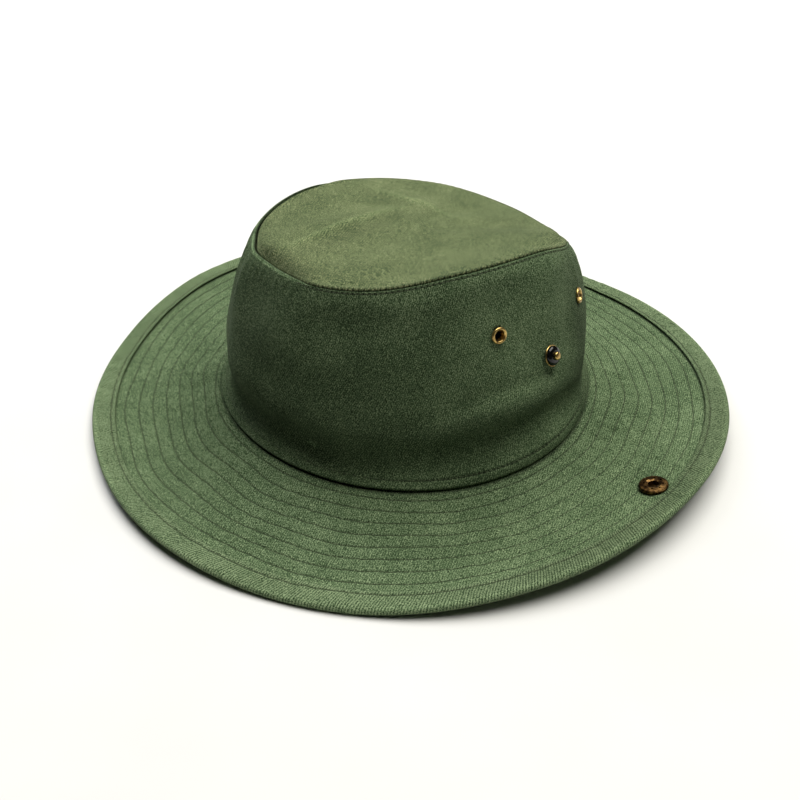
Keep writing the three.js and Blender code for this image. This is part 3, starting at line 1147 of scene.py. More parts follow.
def settle(
    piece: bpy.types.Object, slot: Slot, material: bpy.types.Material, *nodes: str
) -> bpy.types.Object:
    """Dress a finished piece and tie it to the part.

    Args:
        piece: the piece.
        slot: the record's slot for the piece; not used.
        material: its material.
        nodes: nodes of the part that it stands for.

    Returns:
        The same piece.
    """
    piece.data.materials.clear()
    piece.data.materials.append(material)
    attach(piece, BODY)
    if nodes:
        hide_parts(*nodes)
    LOG.info("%s: %d faces", piece.name, len(piece.data.polygons))
    return piece


# ---- cloth pieces ----


@dataclass(frozen=True)
class RimPoint:
    """A point of the side panel's top edge.

    Args:
        inside: distance in from the outer face in millimetres.
        rise: height over the top of that face in millimetres.
        dark: painted shade where the seam is open, negative for a painted highlight.
    """

    inside: float
    rise: float
    dark: float


@dataclass
class CrownSide:
    """Side panel of the crown, a band of twill from the brim up to the tip.

    Places along its foot and its top are in millimetres from the brim and from the tip seam.
    """

    steps: int = 1080
    row: StitchRow = StitchRow("tip seam", 78.0, 2.5)
    foot_row: StitchRow = StitchRow("crown seam", 97.5, 2.5)
    foot_stitch: float = 4.6
    top_stitch: float = 0.45
    top_drop: float = 0.9
    top_drop_ends: Place = (1.0, 9.0)
    foot_groove: SeamLine = SeamLine(0, 0.6, 1.2)
    foot_roll: SeamLine = SeamLine(1.6, 0.9, 0.45)
    foot_row_groove: SeamLine = SeamLine(foot_stitch, 0.45, 0.3, 0.45)
    open_groove: SeamLine = SeamLine(0, 0.35, 0.3)
    top_row_groove: SeamLine = SeamLine(top_stitch, 0.4, 0.1, 0.5)
    # Painted shadow under the turned foot, and painted shade in the stitch rows and their needle holes.
    foot_painted_shadow: SeamLine = SeamLine(0, 0.6, 0.8)
    foot_row_painted_shade: SeamLine = SeamLine(foot_stitch, 0.4, 0.15, 0.6)
    top_row_painted_shade: SeamLine = SeamLine(top_stitch, 0.4, 0.05, 0.75)
    # Paler top edge where the seam is open: painted highlight, partly wear.
    open_edge_painted_highlight: SeamLine = SeamLine(0, 0.6, 0.7)
    creases: Ripples = Ripples(3, 13, 55, 11)
    crease_height: float = 0.45
    gathers: Ripples = Ripples(60, 130, 40, 12)
    foot_gathers: SeamLine = SeamLine(5, 4, 0.06)
    top_gathers: SeamLine = SeamLine(4.5, 4, 0.1)
    rim: tuple[RimPoint, ...] = (
        RimPoint(0.35, 0.26, -0.4),
        RimPoint(0.75, 0.4, 0.3),
        RimPoint(1.15, 0.26, 0.75),
    )
    near_foot: tuple[float, ...] = (0, 0.4, 0.8, 1.2, 1.6, 2.1, 2.7, 3.3, 3.9, 4.25, 4.6, 4.95, 5.3, 6, 7.2)
    near_top: tuple[float, ...] = (0, 0.2, 0.45, 0.7, 0.95, 1.3, 1.7, 2.1, 2.6, 3.2, 4, 5, 6, 7.2)
    middle_margin: float = 9.0
    middle_step: float = 1.85
    inner_levels: tuple[float, ...] = (0.997, 0.97, 0.94, 0.82, 0.64, 0.46, 0.3, 0.18, 0.09, 0.045, 0)
    darkest: float = 0.1
    most_painted_shade: float = 0.5

    def lip(self, at: Array) -> Array:
        """How strongly the turned foot of the panel stands over the brim, from 0 to 1."""
        return 0.2 + 0.35 * arc_share(at, 255, 98, 14) + 0.45 * arc_share(at, 255, 45, 14)

    def foot_stitched(self, at: Array) -> Array:
        """How deep the edge stitching of the foot is drawn in, from 0 to 1."""
        return arc_share(at, 36, 106, 10)

    def relief(self, at: Array, level: Array) -> Array:
        """Height of the small forms of the panel's outer face in millimetres.

        Args:
            at: angles.
            level: shares of the panel's height.

        Returns:
            Heights along the outward normal.
        """
        rise, fall = level * FORM.panel_height, (1 - level) * FORM.panel_height
        covered = FORM.tip_covers(at)
        relief = self.lip(at) * (self.foot_roll.across(rise) - self.foot_groove.across(rise))
        relief = relief - self.foot_stitched(at) * self.foot_row_groove.across(rise, self.foot_row.holes(at))
        relief = relief - (1 - covered) * self.open_groove.across(fall)
        relief = relief - covered * self.top_row_groove.across(fall, self.row.holes(at))
        free = smooth(rise, 2.0, 12.0) * smooth(fall, 2.0, 10.0)
        relief = relief + self.crease_height * self.creases.height(at, rise) * free
        gathered = self.top_gathers.across(fall) * smooth(fall, 0.5, 3.0)
        gathered = gathered + self.foot_gathers.across(rise) * smooth(rise, 1.5, 4.0)
        relief = relief + self.gathers.height(at, rise) * gathered
        return relief + summed(SIDE_CREASES, at, level) * smooth(rise, 0.0, 4.0)

    def levels(self) -> Array:
        """Levels of the outer face, close together beside the seams."""
        height = FORM.panel_height
        middle = spaced(self.middle_margin, height - self.middle_margin, self.middle_step)
        near_foot, near_top = np.array(self.near_foot), np.array(self.near_top)
        return merged(near_foot / height, middle / height, 1 - near_top / height)

    def surface(self, at: Array, level: Array) -> Array:
        """Points of the panel's outer face with all its small forms."""
        return self.layer(at, level, -self.relief(at, level))

    def layer(self, at: Array, level: Array, depth: Array | float) -> Array:
        """Points of the panel at a depth, let down a little at the top where the tip rolls over it.

        Args:
            at: angles.
            level: shares of the panel's height.
            depth: distances in from the outer face in millimetres.

        Returns:
            Points, one for each triple.
        """
        fall = (1 - level) * FORM.panel_height
        let_down = self.top_drop * FORM.tip_covers(at) * (1 - smooth(fall, *self.top_drop_ends))
        return FORM.side_depth(at, level - let_down / FORM.panel_height, depth)

    def shade(self, at: Array, level: Array) -> Array:
        """How dark the cloth is.

        Args:
            at: angles.
            level: shares of the panel's height.

        Returns:
            1 where it is plain, less with painted shade under the foot, in the stitch rows, at the needle
            holes and on the panel's shaded places, and more along the open top edge, which is paler with
            wear and a painted highlight.
        """
        rise, fall = level * FORM.panel_height, (1 - level) * FORM.panel_height
        covered = FORM.tip_covers(at)
        # Painted shadow under the foot and painted shade in the stitch rows.
        dark = self.foot_painted_shadow.across(rise) * self.lip(at)
        dark = dark + self.foot_stitched(at) * self.foot_row_painted_shade.across(rise, self.foot_row.holes(at))
        dark = dark + covered * self.top_row_painted_shade.across(fall, self.row.holes(at))
        # Painted shade on the shaded places and hollows of the panel, kept from getting too dark.
        dust_and_painted_shade = np.maximum(summed(SIDE_PAINTED_SHADE, at, level), -self.most_painted_shade)
        # The open top edge is made paler: painted highlight, partly wear.
        return np.clip(1 - dark + dust_and_painted_shade, self.darkest, 1) + (1 - covered) * self.open_edge_painted_highlight.across(fall)

    def build(self, material: bpy.types.Material) -> bpy.types.Object:
        """Make the panel and settle it.

        Args:
            material: its finish.

        Returns:
            The finished piece.
        """
        at = np.arange(self.steps)[:, None] * 360.0 / self.steps + 180.0
        levels = self.levels()[None, :]
        inner_levels = np.array(self.inner_levels)[None, :]
        outer = self.surface(at, levels)
        covered = FORM.tip_covers(at)
        top = self.layer(at, np.ones((1, 1)), 0.0)
        raised = UP * (1 - 0.5 * covered)[..., None]
        rims = [top - outward(at) * point.inside + raised * point.rise for point in self.rim]
        inner = self.layer(at, inner_levels, FORM.side_cloth)
        inner[:, -1, 2] = outer[:, 0, 2]
        points = np.concatenate([outer, *rims, inner], axis=1)
        shade = np.ones(points.shape[:2])
        first_rim = levels.shape[1]
        shade[:, :first_rim] = self.shade(at, levels)
        # Painted highlight on the outer rim point and painted shade on the inner ones where the seam is
        # open.
        for k, point in enumerate(self.rim):
            shade[:, first_rim + k] = 1 - point.dark * (1 - covered[:, 0])
        piece = Cloth("crown_side_twill", points, self.plan(levels[0], inner_levels[0]), shade).ring()
        return settle(piece, Slot.TWILL, material, "crown_side")

    def plan(self, levels: Array, inner_levels: Array) -> Array:
        """Lay the panel out flat, up its outer face, over its rim and down its inner face.

        Args:
            levels: levels of the outer face.
            inner_levels: levels of the inner face.

        Returns:
            Place of each point on the cut cloth in millimetres, one step longer each way.
        """
        rim_step, fold = 0.003, 0.01
        rim = 1 + rim_step * np.arange(1, len(self.rim) + 1)
        up = np.concatenate([levels, rim, 1 + fold + (1 - inner_levels)])
        up = np.append(up, up[-1] + 2 * fold)[None, :]
        turns = np.radians(np.arange(self.steps + 1) * 360.0 / self.steps)[:, None]
        return np.stack([turns * FORM.head_radius + 0 * up, up * FORM.panel_height + 0 * turns], axis=-1)


@dataclass(frozen=True)
class EdgePoint:
    """A point of the tip's turned edge, measured from the top of the side panel's outer face.

    Args:
        inside: distance in from that face where the seam is open.
        rise: height over it where the seam is open.
        inside_covered: distance in where the edge rolls over the seam.
        rise_covered: height there.
        dark: painted shade where the seam is open.
        dark_stitch: painted shade at the stitches where the edge rolls over the seam.
    """

    inside: float
    rise: float
    inside_covered: float
    rise_covered: float
    dark: float
    dark_stitch: float


@dataclass
class CrownTip:
    """Oval top panel of the crown, turned down inside the side panel.

    Distances from its rim are in millimetres, measured across the oval.
    """

    steps: int = 1080
    near_rim: tuple[float, ...] = (2.2, 3, 4, 5.2, 6.6, 8.2, 10, 12)
    middle_start: float = 0.04
    middle_step: float = 0.026
    middle_margin: float = 14.0
    edge: tuple[EdgePoint, ...] = (
        EdgePoint(2.7, 0.05, 1.7, 0.5, 0, 0),
        EdgePoint(2.3, -0.1, 1.1, 0.62, 0, 0.2),
        EdgePoint(2.05, -0.4, 0.5, 0.5, 0.2, 0.6),
        EdgePoint(1.9, -0.9, 0.05, 0.15, 0.45, 0.8),
        EdgePoint(1.85, -1.4, -0.1, -0.3, 0.6, 0.85),
        EdgePoint(1.8, -1.9, 0.3, -0.68, 0.8, 0.8),
        EdgePoint(1.8, -2.4, 1.8, -1.0, 0.8, 0.8),
    )
    under_shares: tuple[float, ...] = (0.94, 0.88, 0.78, 0.66, 0.52, 0.38, 0.24, 0.1, 0)
    rumple: Ripples = Ripples(2, 9, 60, 21)
    rumple_height: float = 0.3
    gathers: Ripples = Ripples(60, 130, 40, 22)
    rim_gathers: SeamLine = SeamLine(3.5, 3, 0.1)
    corner_painted_shade: SeamLine = SeamLine(0, 5.5, 0.5)

    def corner(self, at: Array) -> Array:
        """1 along the front corner, where painted shade lies on the slope beside the seam, and 0 elsewhere.
        """
        return arc_share(at, 335, 5, 9)

    def relief(self, at: Array, share: Array) -> Array:
        """Height of the tip's small forms.

        Args:
            at: angles.
            share: shares of the way to the rim.

        Returns:
            Heights in millimetres.
        """
        inside = (1 - share) * FORM.tip_half_width
        top = FORM.tip_layer(at, share)
        free = smooth(inside, 1.0, 14.0) * smooth(share, 0.0, 0.35)
        relief = self.rumple_height * self.rumple.height(at, inside) * free
        gathered = self.rim_gathers.across(inside) * smooth(inside, 0.5, 2.5)
        relief = relief + self.gathers.height(at, inside) * gathered
        return relief + summed(TIP_CREASES, top[..., 0], top[..., 1]) * smooth(inside, 0.0, 4.0)

    def shade(self, at: Array, share: Array, top: Array) -> Array:
        """How dark the cloth is: 1 where it is plain, more under the painted highlights of the creases, and
        less under the painted shade beside the ridge, over the rear dish and along the front corner.
        """
        dust_and_painted_shade = self.corner(at) * self.corner_painted_shade.across((1 - share) * FORM.tip_half_width)
        # Painted highlights and painted shade of the tip.
        return 1 - dust_and_painted_shade + summed(TIP_PAINTED_LIGHT, top[..., 0], top[..., 1])

    def turned_edge(self, at: Array) -> list[Array]:
        """Lay the edge down beside the side panel where the seam is open, and over it elsewhere.

        Args:
            at: angles.

        Returns:
            One ring of points for each point of the edge.
        """
        covered = FORM.tip_covers(at)
        top = FORM.side_surface(at, np.ones((1, 1)))
        rings = []
        for point in self.edge:
            inside = point.inside + (point.inside_covered - point.inside) * covered
            rise = point.rise + (point.rise_covered - point.rise) * covered
            rings.append(top - outward(at) * inside[..., None] + UP * rise[..., None])
        return rings

    def build(self, material: bpy.types.Material) -> bpy.types.Object:
        """Make the tip and settle it.

        Args:
            material: its finish.

        Returns:
            The finished piece.
        """
        at = np.arange(self.steps)[:, None] * 360.0 / self.steps
        middle = spaced(self.middle_start, 1 - self.middle_margin / FORM.tip_half_width, self.middle_step)
        shares = merged([0.0], middle, 1 - np.array(self.near_rim) / FORM.tip_half_width)[None, :]
        top = FORM.tip_layer(at, shares)
        top[..., 2] += self.relief(at, shares)
        near_side = FORM.side_cloth + FORM.gap
        far_side = near_side + FORM.tip_cloth
        collar_section = ((0.965, near_side), (0.94, near_side), (0.94, far_side), (0.97, far_side))
        collar = [FORM.side_depth(at, level, depth) for level, depth in collar_section]
        under = FORM.tip_layer(at, np.array(self.under_shares)[None, :], FORM.tip_cloth)
        points = np.concatenate([top, *self.turned_edge(at), *collar, under], axis=1)
        shade = np.ones(points.shape[:2])
        first = top.shape[1]
        shade[:, :first] = self.shade(at, shares, top)
        drawn, covered = CrownSide.row.holes(at), FORM.tip_covers(at)
        # Painted shade on the slope beside the seam along the front corner.
        dust_and_painted_shade = self.corner(at) * self.corner_painted_shade.amount
        # Painted shade in the open seam and at the stitches of the turned edge.
        for k, point in enumerate(self.edge):
            edge_shade = 1 - point.dark * (1 - covered) - point.dark_stitch * covered * drawn
            shade[:, first + k] = (edge_shade * (1 - dust_and_painted_shade))[:, 0]
        piece = Cloth("crown_tip_twill", points, points[..., :2], shade).disc()
        return settle(piece, Slot.TWILL, material, "crown_tip")


@dataclass
class Brim:
    """Brim of two cloths quilted together by rings of stitches.

    Distances are in millimetres, out along the cloth from the crown seam.
    """

    steps: int = 1000
    first_row: float = 4.0
    row_step: float = 6.86
    row_count: int = 8
    pitch: float = 2.6
    row_slip: float = 0.37
    row_groove: SeamLine = SeamLine(0, 0.32, 0.26, 0.3)
    row_valley: SeamLine = SeamLine(0, 1.7, 0.18)
    # Painted shade in the rows and needle holes, and painted shadow under the crown's foot and the binding's
    # edge.
    row_painted_shade: SeamLine = SeamLine(0, 0.32, 0.3, 0.5)
    crown_painted_shadow: SeamLine = SeamLine(0, 1.1, 0.55)
    binding_painted_shadow: SeamLine = SeamLine(FORM.bound, 0.8, 0.5)
    most_dark: float = 0.85
    wander: Ripples = Ripples(5, 18, 60, 31)
    wander_width: float = 0.5
    puckers: Ripples = Ripples(45, 95, 22, 32)
    pucker_height: float = 0.13
    swells: Ripples = Ripples(9, 30, 40, 33)
    swell_height: float = 0.18
    pressed_at: float = 78.0
    pressed_half: float = 26.0
    pressed: float = 0.85
    beside_row: tuple[float, ...] = (-1.5, -0.65, -0.3, 0, 0.3, 0.65, 1.5)
    near_crown: tuple[float, ...] = (0, 0.6, 1.2, 2)
    near_binding: tuple[float, ...] = (55, 56.3, FORM.bound, 59.5, 63)
    collar_levels: Place = (0.045, 0.09)

    def rows(self) -> list[float]:
        """Distances of the stitch rows out from the crown seam."""
        return [self.first_row + k * self.row_step for k in range(self.row_count)]

    def row(self, index: int) -> StitchRow:
        """The stitches of one row."""
        radius = FORM.head_radius + self.rows()[index]
        return StitchRow(f"brim row {index + 1}", radius, self.pitch, self.row_slip * index)

    def strength(self, at: Array, distance: Array) -> Array:
        """How deep the rows are drawn in, from 0 to 1, less where the brim was pressed smooth."""
        pressed = bell(angle_between(at, self.pressed_at), self.pressed_half) * smooth(distance, 6, 22)
        return 1 - self.pressed * pressed

    def shift(self, at: Array, distance: Array) -> Array:
        """How far the rows wander from true rings, in millimetres."""
        free = smooth(distance, 1.0, 9.0) * (1 - smooth(distance, FORM.bound - 4.5, FORM.bound - 0.5))
        return self.wander_width * self.wander.height(at, distance) * free

    def relief(self, at: Array, distance: Array) -> Array:
        """Height of the brim's small forms, with the rows taken as true rings.

        Args:
            at: angles.
            distance: distances out.

        Returns:
            Heights in millimetres.
        """
        strength = self.strength(at, distance)
        free = smooth(distance, 0.5, 6.0) * (1 - smooth(distance, FORM.bound - 6.0, FORM.bound))
        puckers = self.pucker_height * self.puckers.height(at, distance)
        relief = (puckers + self.swell_height * self.swells.height(at, distance)) * free
        for index, place in enumerate(self.rows()):
            across = distance - place
            relief = relief - strength * self.row_groove.across(across, self.row(index).holes(at))
            relief = relief - strength * self.row_valley.across(across)
        return relief

    def shade(self, at: Array, distance: Array) -> Array:
        """How dark the cloth is.

        Args:
            at: angles.
            distance: distances out.

        Returns:
            1 where it is plain, and less with painted shade in the rows and painted shadow under the crown
            and the binding.
        """
        # Painted shadow under the crown and the binding, and painted shade in the rows.
        dark = self.crown_painted_shadow.across(distance) + self.binding_painted_shadow.across(distance)
        strength = self.strength(at, distance)
        for index, place in enumerate(self.rows()):
            dark = dark + strength * self.row_painted_shade.across(distance - place, self.row(index).holes(at))
        return 1 - np.clip(dark, 0, self.most_dark)

    def top(self, at: Array, distance: Array) -> Array:
        """Points of the upper face with all its small forms."""
        above = FORM.brim_cloth / 2 + self.relief(at, distance)
        return FORM.brim_layer(at, distance + self.shift(at, distance), above)

    def stations(self) -> Array:
        """Distances of the upper face's points, close together beside each row."""
        beside = [place + offset for place in self.rows() for offset in self.beside_row]
        between = [place + self.row_step / 2 for place in self.rows()[:-1]]
        end = FORM.brim_width - FORM.binding_cloth - FORM.gap
        return merged(self.near_crown, beside, between, self.near_binding, [end])

    def collar(self, at: Array, top: Array, under: Array) -> list[Array]:
        """Turn the inner margin up inside the crown.

        Args:
            at: angles.
            top: points of the upper face.
            under: points of the lower face, from the outer edge inwards.

        Returns:
            Rings of points from the lower face round to the upper one.
        """
        near = FORM.side_cloth + FORM.gap
        far = near + FORM.brim_cloth
        low, high = self.collar_levels
        section = ((0.0, far), (low, far), (high, far), (high, near), (low, near), (0.0, near))
        rings = [FORM.side_depth(at, level, depth) for level, depth in section]
        rings[0][..., 2] = under[:, -1:, 2]
        rings[-1][..., 2] = top[:, :1, 2]
        return rings

    def build(self, material: bpy.types.Material) -> bpy.types.Object:
        """Make the brim and settle it.

        Args:
            material: its finish.

        Returns:
            The finished piece.
        """
        at = np.arange(self.steps)[:, None] * 360.0 / self.steps
        stations = self.stations()[None, :]
        top = self.top(at, stations)
        rows = np.array(self.rows())
        end = float(stations[0, -1])
        under_stations = merged([0.0, end], rows, rows + self.row_step / 2)[None, ::-1]
        under = FORM.brim_layer(at, under_stations, -FORM.brim_cloth / 2 + 0 * under_stations)
        points = np.concatenate([top, under, *self.collar(at, top, under)], axis=1)
        shade = np.ones(points.shape[:2])
        shade[:, : stations.shape[1]] = self.shade(at, stations)
        piece = Cloth("brim_twill", points, wrapped(points[..., :2]), shade).ring()
        return settle(piece, Slot.TWILL, material, "brim")


@dataclass
class Binding:
    """Strip of twill folded over the edge of the brim, with one row of stitches near its inner edge.

    Distances are in millimetres, out along the cloth from the crown seam.

    Args:
        inner_edge: its section over the turned inner edge, as distance past it and share of full height.
        outer_edge: the same over the edge of the brim.
        flat: points between the two edges, at full height.
        under_points: which points of that section are repeated below.
    """

    steps: int = 2000
    stitch: float = 59.6
    pitch: float = 2.6
    join_at: float = 294.0
    join_slant: float = 0.7
    inner_edge: tuple[Place, ...] = ((0.5, 0.42), (0.05, 0.5), (-0.2, 0.68), (-0.1, 0.86), (0.25, 0.97))
    flat: tuple[float, ...] = (0.7, 1.2, 1.65, 1.9, 2.1, 2.3, 2.55, 3, 4, 5.2, 6.4, 7.6, 8.6)
    outer_edge: tuple[Place, ...] = (
        (9.3, 0.97),
        (9.9, 0.86),
        (10.4, 0.68),
        (10.75, 0.45),
        (10.93, 0.22),
        (11, 0),
    )
    under_points: tuple[int, ...] = (0, 2, 4, 7, 9, 11, 14, 17, 19, 21, 22)
    row_groove: SeamLine = SeamLine(stitch, 0.45, 0.28, 0.25)
    # Painted shade in the stitch row and its needle holes.
    row_painted_shade: SeamLine = SeamLine(stitch, 0.45, 0.12, 0.4)
    edge_lift: SeamLine = SeamLine(FORM.bound, 1.6, 0.7)
    join_ridge: SeamLine = SeamLine(0.9, 0.8, 0.35)
    join_groove: SeamLine = SeamLine(0, 0.45, 0.45)
    join_dark: SeamLine = SeamLine(0, 0.5, 0.45)
    plain: float = 0.86
    # Painted shade on the binding's quarter from 50 to 130 degrees.
    dusty_and_painted_shade: float = 0.2
    # Paler outer edge: partly wear and partly painted light on the shaded edge.
    worn_and_painted_light: float = 0.3
    most_dark: float = 0.85
    # Painted shade under the turned inner edge.
    inner_edge_painted_shade: Place = (0.3, 0.55)
    puckers: Ripples = Ripples(60, 150, 30, 41)
    pucker_height: float = 0.14
    swells: Ripples = Ripples(6, 24, 60, 42)
    swell_height: float = 0.16

    @property
    def row(self) -> StitchRow:
        """The stitches that hold the binding."""
        return StitchRow("binding row", FORM.head_radius + self.stitch, self.pitch)

    def opening(self, at: Array) -> Array:
        """How far the inner edge stands off the brim, from 0 to 1."""
        return np.maximum(arc_share(at, 98, 176, 12), 0.8 * arc_share(at, 196, 318, 14))

    def beside_join(self, at: Array, distance: Array) -> Array:
        """How far places are from the slanting join of the strip's two ends, in millimetres."""
        away = np.radians(angle_between(at, self.join_at)) * (FORM.head_radius + distance)
        return away - self.join_slant * (distance - FORM.bound)

    def relief(self, at: Array, distance: Array) -> Array:
        """Height of the strip's small forms.

        Args:
            at: angles.
            distance: distances out.

        Returns:
            Heights in millimetres.
        """
        flat = smooth(distance, FORM.bound - 0.4, FORM.bound + 1.5)
        flat = flat * (1 - smooth(distance, FORM.brim_width - 2.5, FORM.brim_width))
        beside = self.beside_join(at, distance)
        relief = self.pucker_height * self.puckers.height(at, distance)
        relief = relief + self.swell_height * self.swells.height(at, distance)
        relief = (relief + self.join_ridge.across(beside) - self.join_groove.across(beside)) * flat
        relief = relief + self.opening(at) * self.edge_lift.across(distance)
        return relief - self.row_groove.across(distance, self.row.holes(at))

    def shade(self, at: Array, distance: Array) -> Array:
        """How dark the cloth is.

        Args:
            at: angles.
            distance: distances out.

        Returns:
            1 where it is plain, less with painted shade at the stitches and on the quarter from 50 to 130
            degrees, less at the join, and more at the outer edge, which is paler with wear and painted
            light.
        """
        dark = self.row_painted_shade.across(distance, self.row.holes(at))
        dark = dark + self.join_dark.across(self.beside_join(at, distance))
        # Paler outer edge: wear and painted light.
        worn_and_painted_light = self.worn_and_painted_light * smooth(distance, FORM.brim_width - 2.5, FORM.brim_width - 0.4)
        # Painted shade on the quarter from 50 to 130 degrees.
        plain = self.plain - self.dusty_and_painted_shade * arc_share(at, 50, 130, 15)
        return plain + worn_and_painted_light - plain * np.clip(dark, 0, self.most_dark)

    def top(self, at: Array, distance: Array) -> Array:
        """Points of the strip's flat upper face, for the stitches."""
        return FORM.brim_layer(at, distance, self.outside() + self.relief(at, distance))

    def outside(self) -> float:
        """Height of the strip's upper face over the middle of the brim."""
        return FORM.brim_cloth / 2 + FORM.gap + FORM.binding_cloth

    def build(self, material: bpy.types.Material) -> bpy.types.Object:
        """Make the strip and settle it.

        Args:
            material: its finish.

        Returns:
            The finished piece.
        """
        at = np.arange(self.steps)[:, None] * 360.0 / self.steps
        section = [*self.inner_edge, *((place, 1) for place in self.flat), *self.outer_edge]
        distance, height = np.array(section).T
        distance, height = FORM.bound + distance, height * self.outside()
        over = FORM.brim_layer(at, distance[None, :], height[None, :] + self.relief(at, distance[None, :]))
        below = list(reversed(self.under_points))
        under = FORM.brim_layer(at, distance[None, below], -height[None, below] + 0 * at)
        inside = FORM.brim_cloth / 2 + FORM.gap
        fold = FORM.brim_width - FORM.binding_cloth
        inner = [FORM.brim_layer(at, fold + 0 * at, side * inside + 0 * at) for side in (-1, 1)]
        points = np.concatenate([over, under, *inner], axis=1)
        back = 2 * FORM.brim_width - distance[below]
        across = np.concatenate([distance, back, [fold, fold], distance[:1]])
        turns = np.radians(np.arange(self.steps + 1) * 360.0 / self.steps)[:, None]
        girth = turns * (FORM.head_radius + FORM.brim_width)
        plan = np.stack([girth + 0 * across, across + 0 * turns], axis=-1)
        shade = np.ones(points.shape[:2])
        shade[:, : len(distance)] = self.shade(at, distance[None, :])
        # Painted shade under the turned inner edge.
        shade[:, :2] *= self.inner_edge_painted_shade
        piece = Cloth("brim_binding_twill", points, plan, shade).ring()
        return settle(piece, Slot.TWILL, material, "brim_binding")


# ---- fittings ----


@dataclass(frozen=True)
class Spot:
    """A place on the cloth with its upright.

    Args:
        origin: point of the outer face in millimetres.
        out: unit vector out of the cloth.
    """

    origin: Array
    out: Array

    @classmethod
    def on_side(cls, hole: Hole) -> "Spot":
        """Place of a hole on the side panel."""
        at, level = np.array(float(hole.at)), np.array(float(hole.place))
        return cls(FORM.side_surface(at, level), FORM.side_normal(at, level))

    @classmethod
    def on_brim(cls, hole: Hole) -> "Spot":
        """Find the place of a hole on the upper face of the brim.

        Args:
            hole: the hole.

        Returns:
            Its place.
        """
        top = np.array(FORM.brim_cloth / 2)

        def point(turn: float, shift: float) -> Array:
            """Point of the upper face beside the hole."""
            return FORM.brim_layer(np.array(hole.at + turn), np.array(hole.place + shift), top)

        out = np.cross(point(0, 4) - point(0, -4), point(2, 0) - point(-2, 0))
        return cls(point(0, 0), out / np.linalg.norm(out))

    def matrix(self) -> Matrix:
        """Transform that carries a piece modelled on +Z to this place, in metres."""
        turn = Vector((0, 0, 1)).rotation_difference(Vector(self.out)).to_matrix().to_4x4()
        return Matrix.Translation(Vector(self.origin) * MM) @ turn


PUNCH_SIDES = 40
PUNCH_LENGTH = 9


def only(piece: bpy.types.Object) -> None:
    """Select one piece and make it the active one.

    Args:
        piece: the piece.
    """
    bpy.ops.object.select_all(action="DESELECT")
    piece.select_set(True)
    bpy.context.view_layer.objects.active = piece


def punch(cloth: bpy.types.Object, holes: dict[Hole, Spot]) -> None:
    """Cut round holes through a piece of cloth.

    Args:
        cloth: the piece.
        holes: each hole with its place.
    """
    for hole, spot in holes.items():
        bpy.ops.object.select_all(action="DESELECT")
        size = {"radius": hole.radius * MM, "depth": PUNCH_LENGTH * MM}
        bpy.ops.mesh.primitive_cylinder_add(vertices=PUNCH_SIDES, **size)
        cutter = bpy.context.active_object
        cutter.matrix_world = spot.matrix()
        only(cloth)
        bpy.ops.object.modifier_add(type="BOOLEAN")
        cut = cloth.modifiers[-1]
        cut.operation = "DIFFERENCE"
        cut.solver = "EXACT"
        cut.object = cutter
        bpy.ops.object.modifier_apply(modifier=cut.name)
        bpy.data.objects.remove(cutter)
        LOG.info("%s: hole punched", cloth.name)


@dataclass
class Turning:
    """A small metal part turned round its own axis from a profile.

    Args:
        name: name of the piece.
        profile: radius and height in millimetres of each step of its profile.
        sides: number of sides.
        shaft: radius under which the profile starts and ends on the axis, and is closed by faces.
    """

    name: str
    profile: list[Place]
    sides: int = 48
    shaft: float = 0.2

    def model(self) -> bpy.types.Object:
        """Draw a circle out along the profile and close it.

        Returns:
            The part, standing on +Z at the origin.
        """
        (radius, height), *steps = self.profile
        bpy.ops.object.select_all(action="DESELECT")
        bpy.ops.mesh.primitive_circle_add(vertices=self.sides, radius=radius * MM, location=(0, 0, 0))
        piece = bpy.context.active_object
        piece.name = piece.data.name = self.name
        bpy.ops.object.mode_set(mode="EDIT")
        bpy.ops.mesh.select_all(action="SELECT")
        bpy.ops.transform.translate(value=(0, 0, height * MM))
        for wide, high in steps:
            bpy.ops.mesh.extrude_edges_move(TRANSFORM_OT_translate={"value": (0, 0, (high - height) * MM)})
            bpy.ops.transform.resize(value=(wide / radius, wide / radius, 1))
            radius, height = wide, high
        bpy.ops.mesh.select_all(action="DESELECT")
        bpy.ops.mesh.select_non_manifold()
        if self.profile[0][0] < self.shaft:
            bpy.ops.mesh.edge_face_add()
        else:
            bpy.ops.mesh.bridge_edge_loops()
        bpy.ops.mesh.select_all(action="SELECT")
        bpy.ops.mesh.normals_make_consistent(inside=False)
        bpy.ops.object.mode_set(mode="OBJECT")
        return piece

    def build(self, spot: Spot, slot: Slot, material: bpy.types.Material, node: str) -> bpy.types.Object:
        """Make the part, set it in its place and settle it.

        Args:
            spot: its place on the cloth.
            slot: the record's slot.
            material: its finish.
            node: node of the part that it stands for.

        Returns:
            The finished piece.
        """
        piece = self.model()
        only(piece)
        piece.matrix_world = spot.matrix()
        bpy.ops.object.transform_apply(location=True, rotation=True, scale=True)
        bpy.ops.object.shade_smooth_by_angle(angle=math.radians(50))
        return settle(piece, slot, material, node)


def arc(middle: Place, half: Place, turns: range) -> list[Place]:
    """Points on an arc of a profile.

    Args:
        middle: radius and height of its middle.
        half: half its width and half its height.
        turns: angle of each point in degrees, from straight out and rising upwards.

    Returns:
        Radius and height of each point.
    """
    angles = [math.radians(turn) for turn in turns]
    return [(middle[0] + half[0] * math.cos(a), middle[1] + half[1] * math.sin(a)) for a in angles]


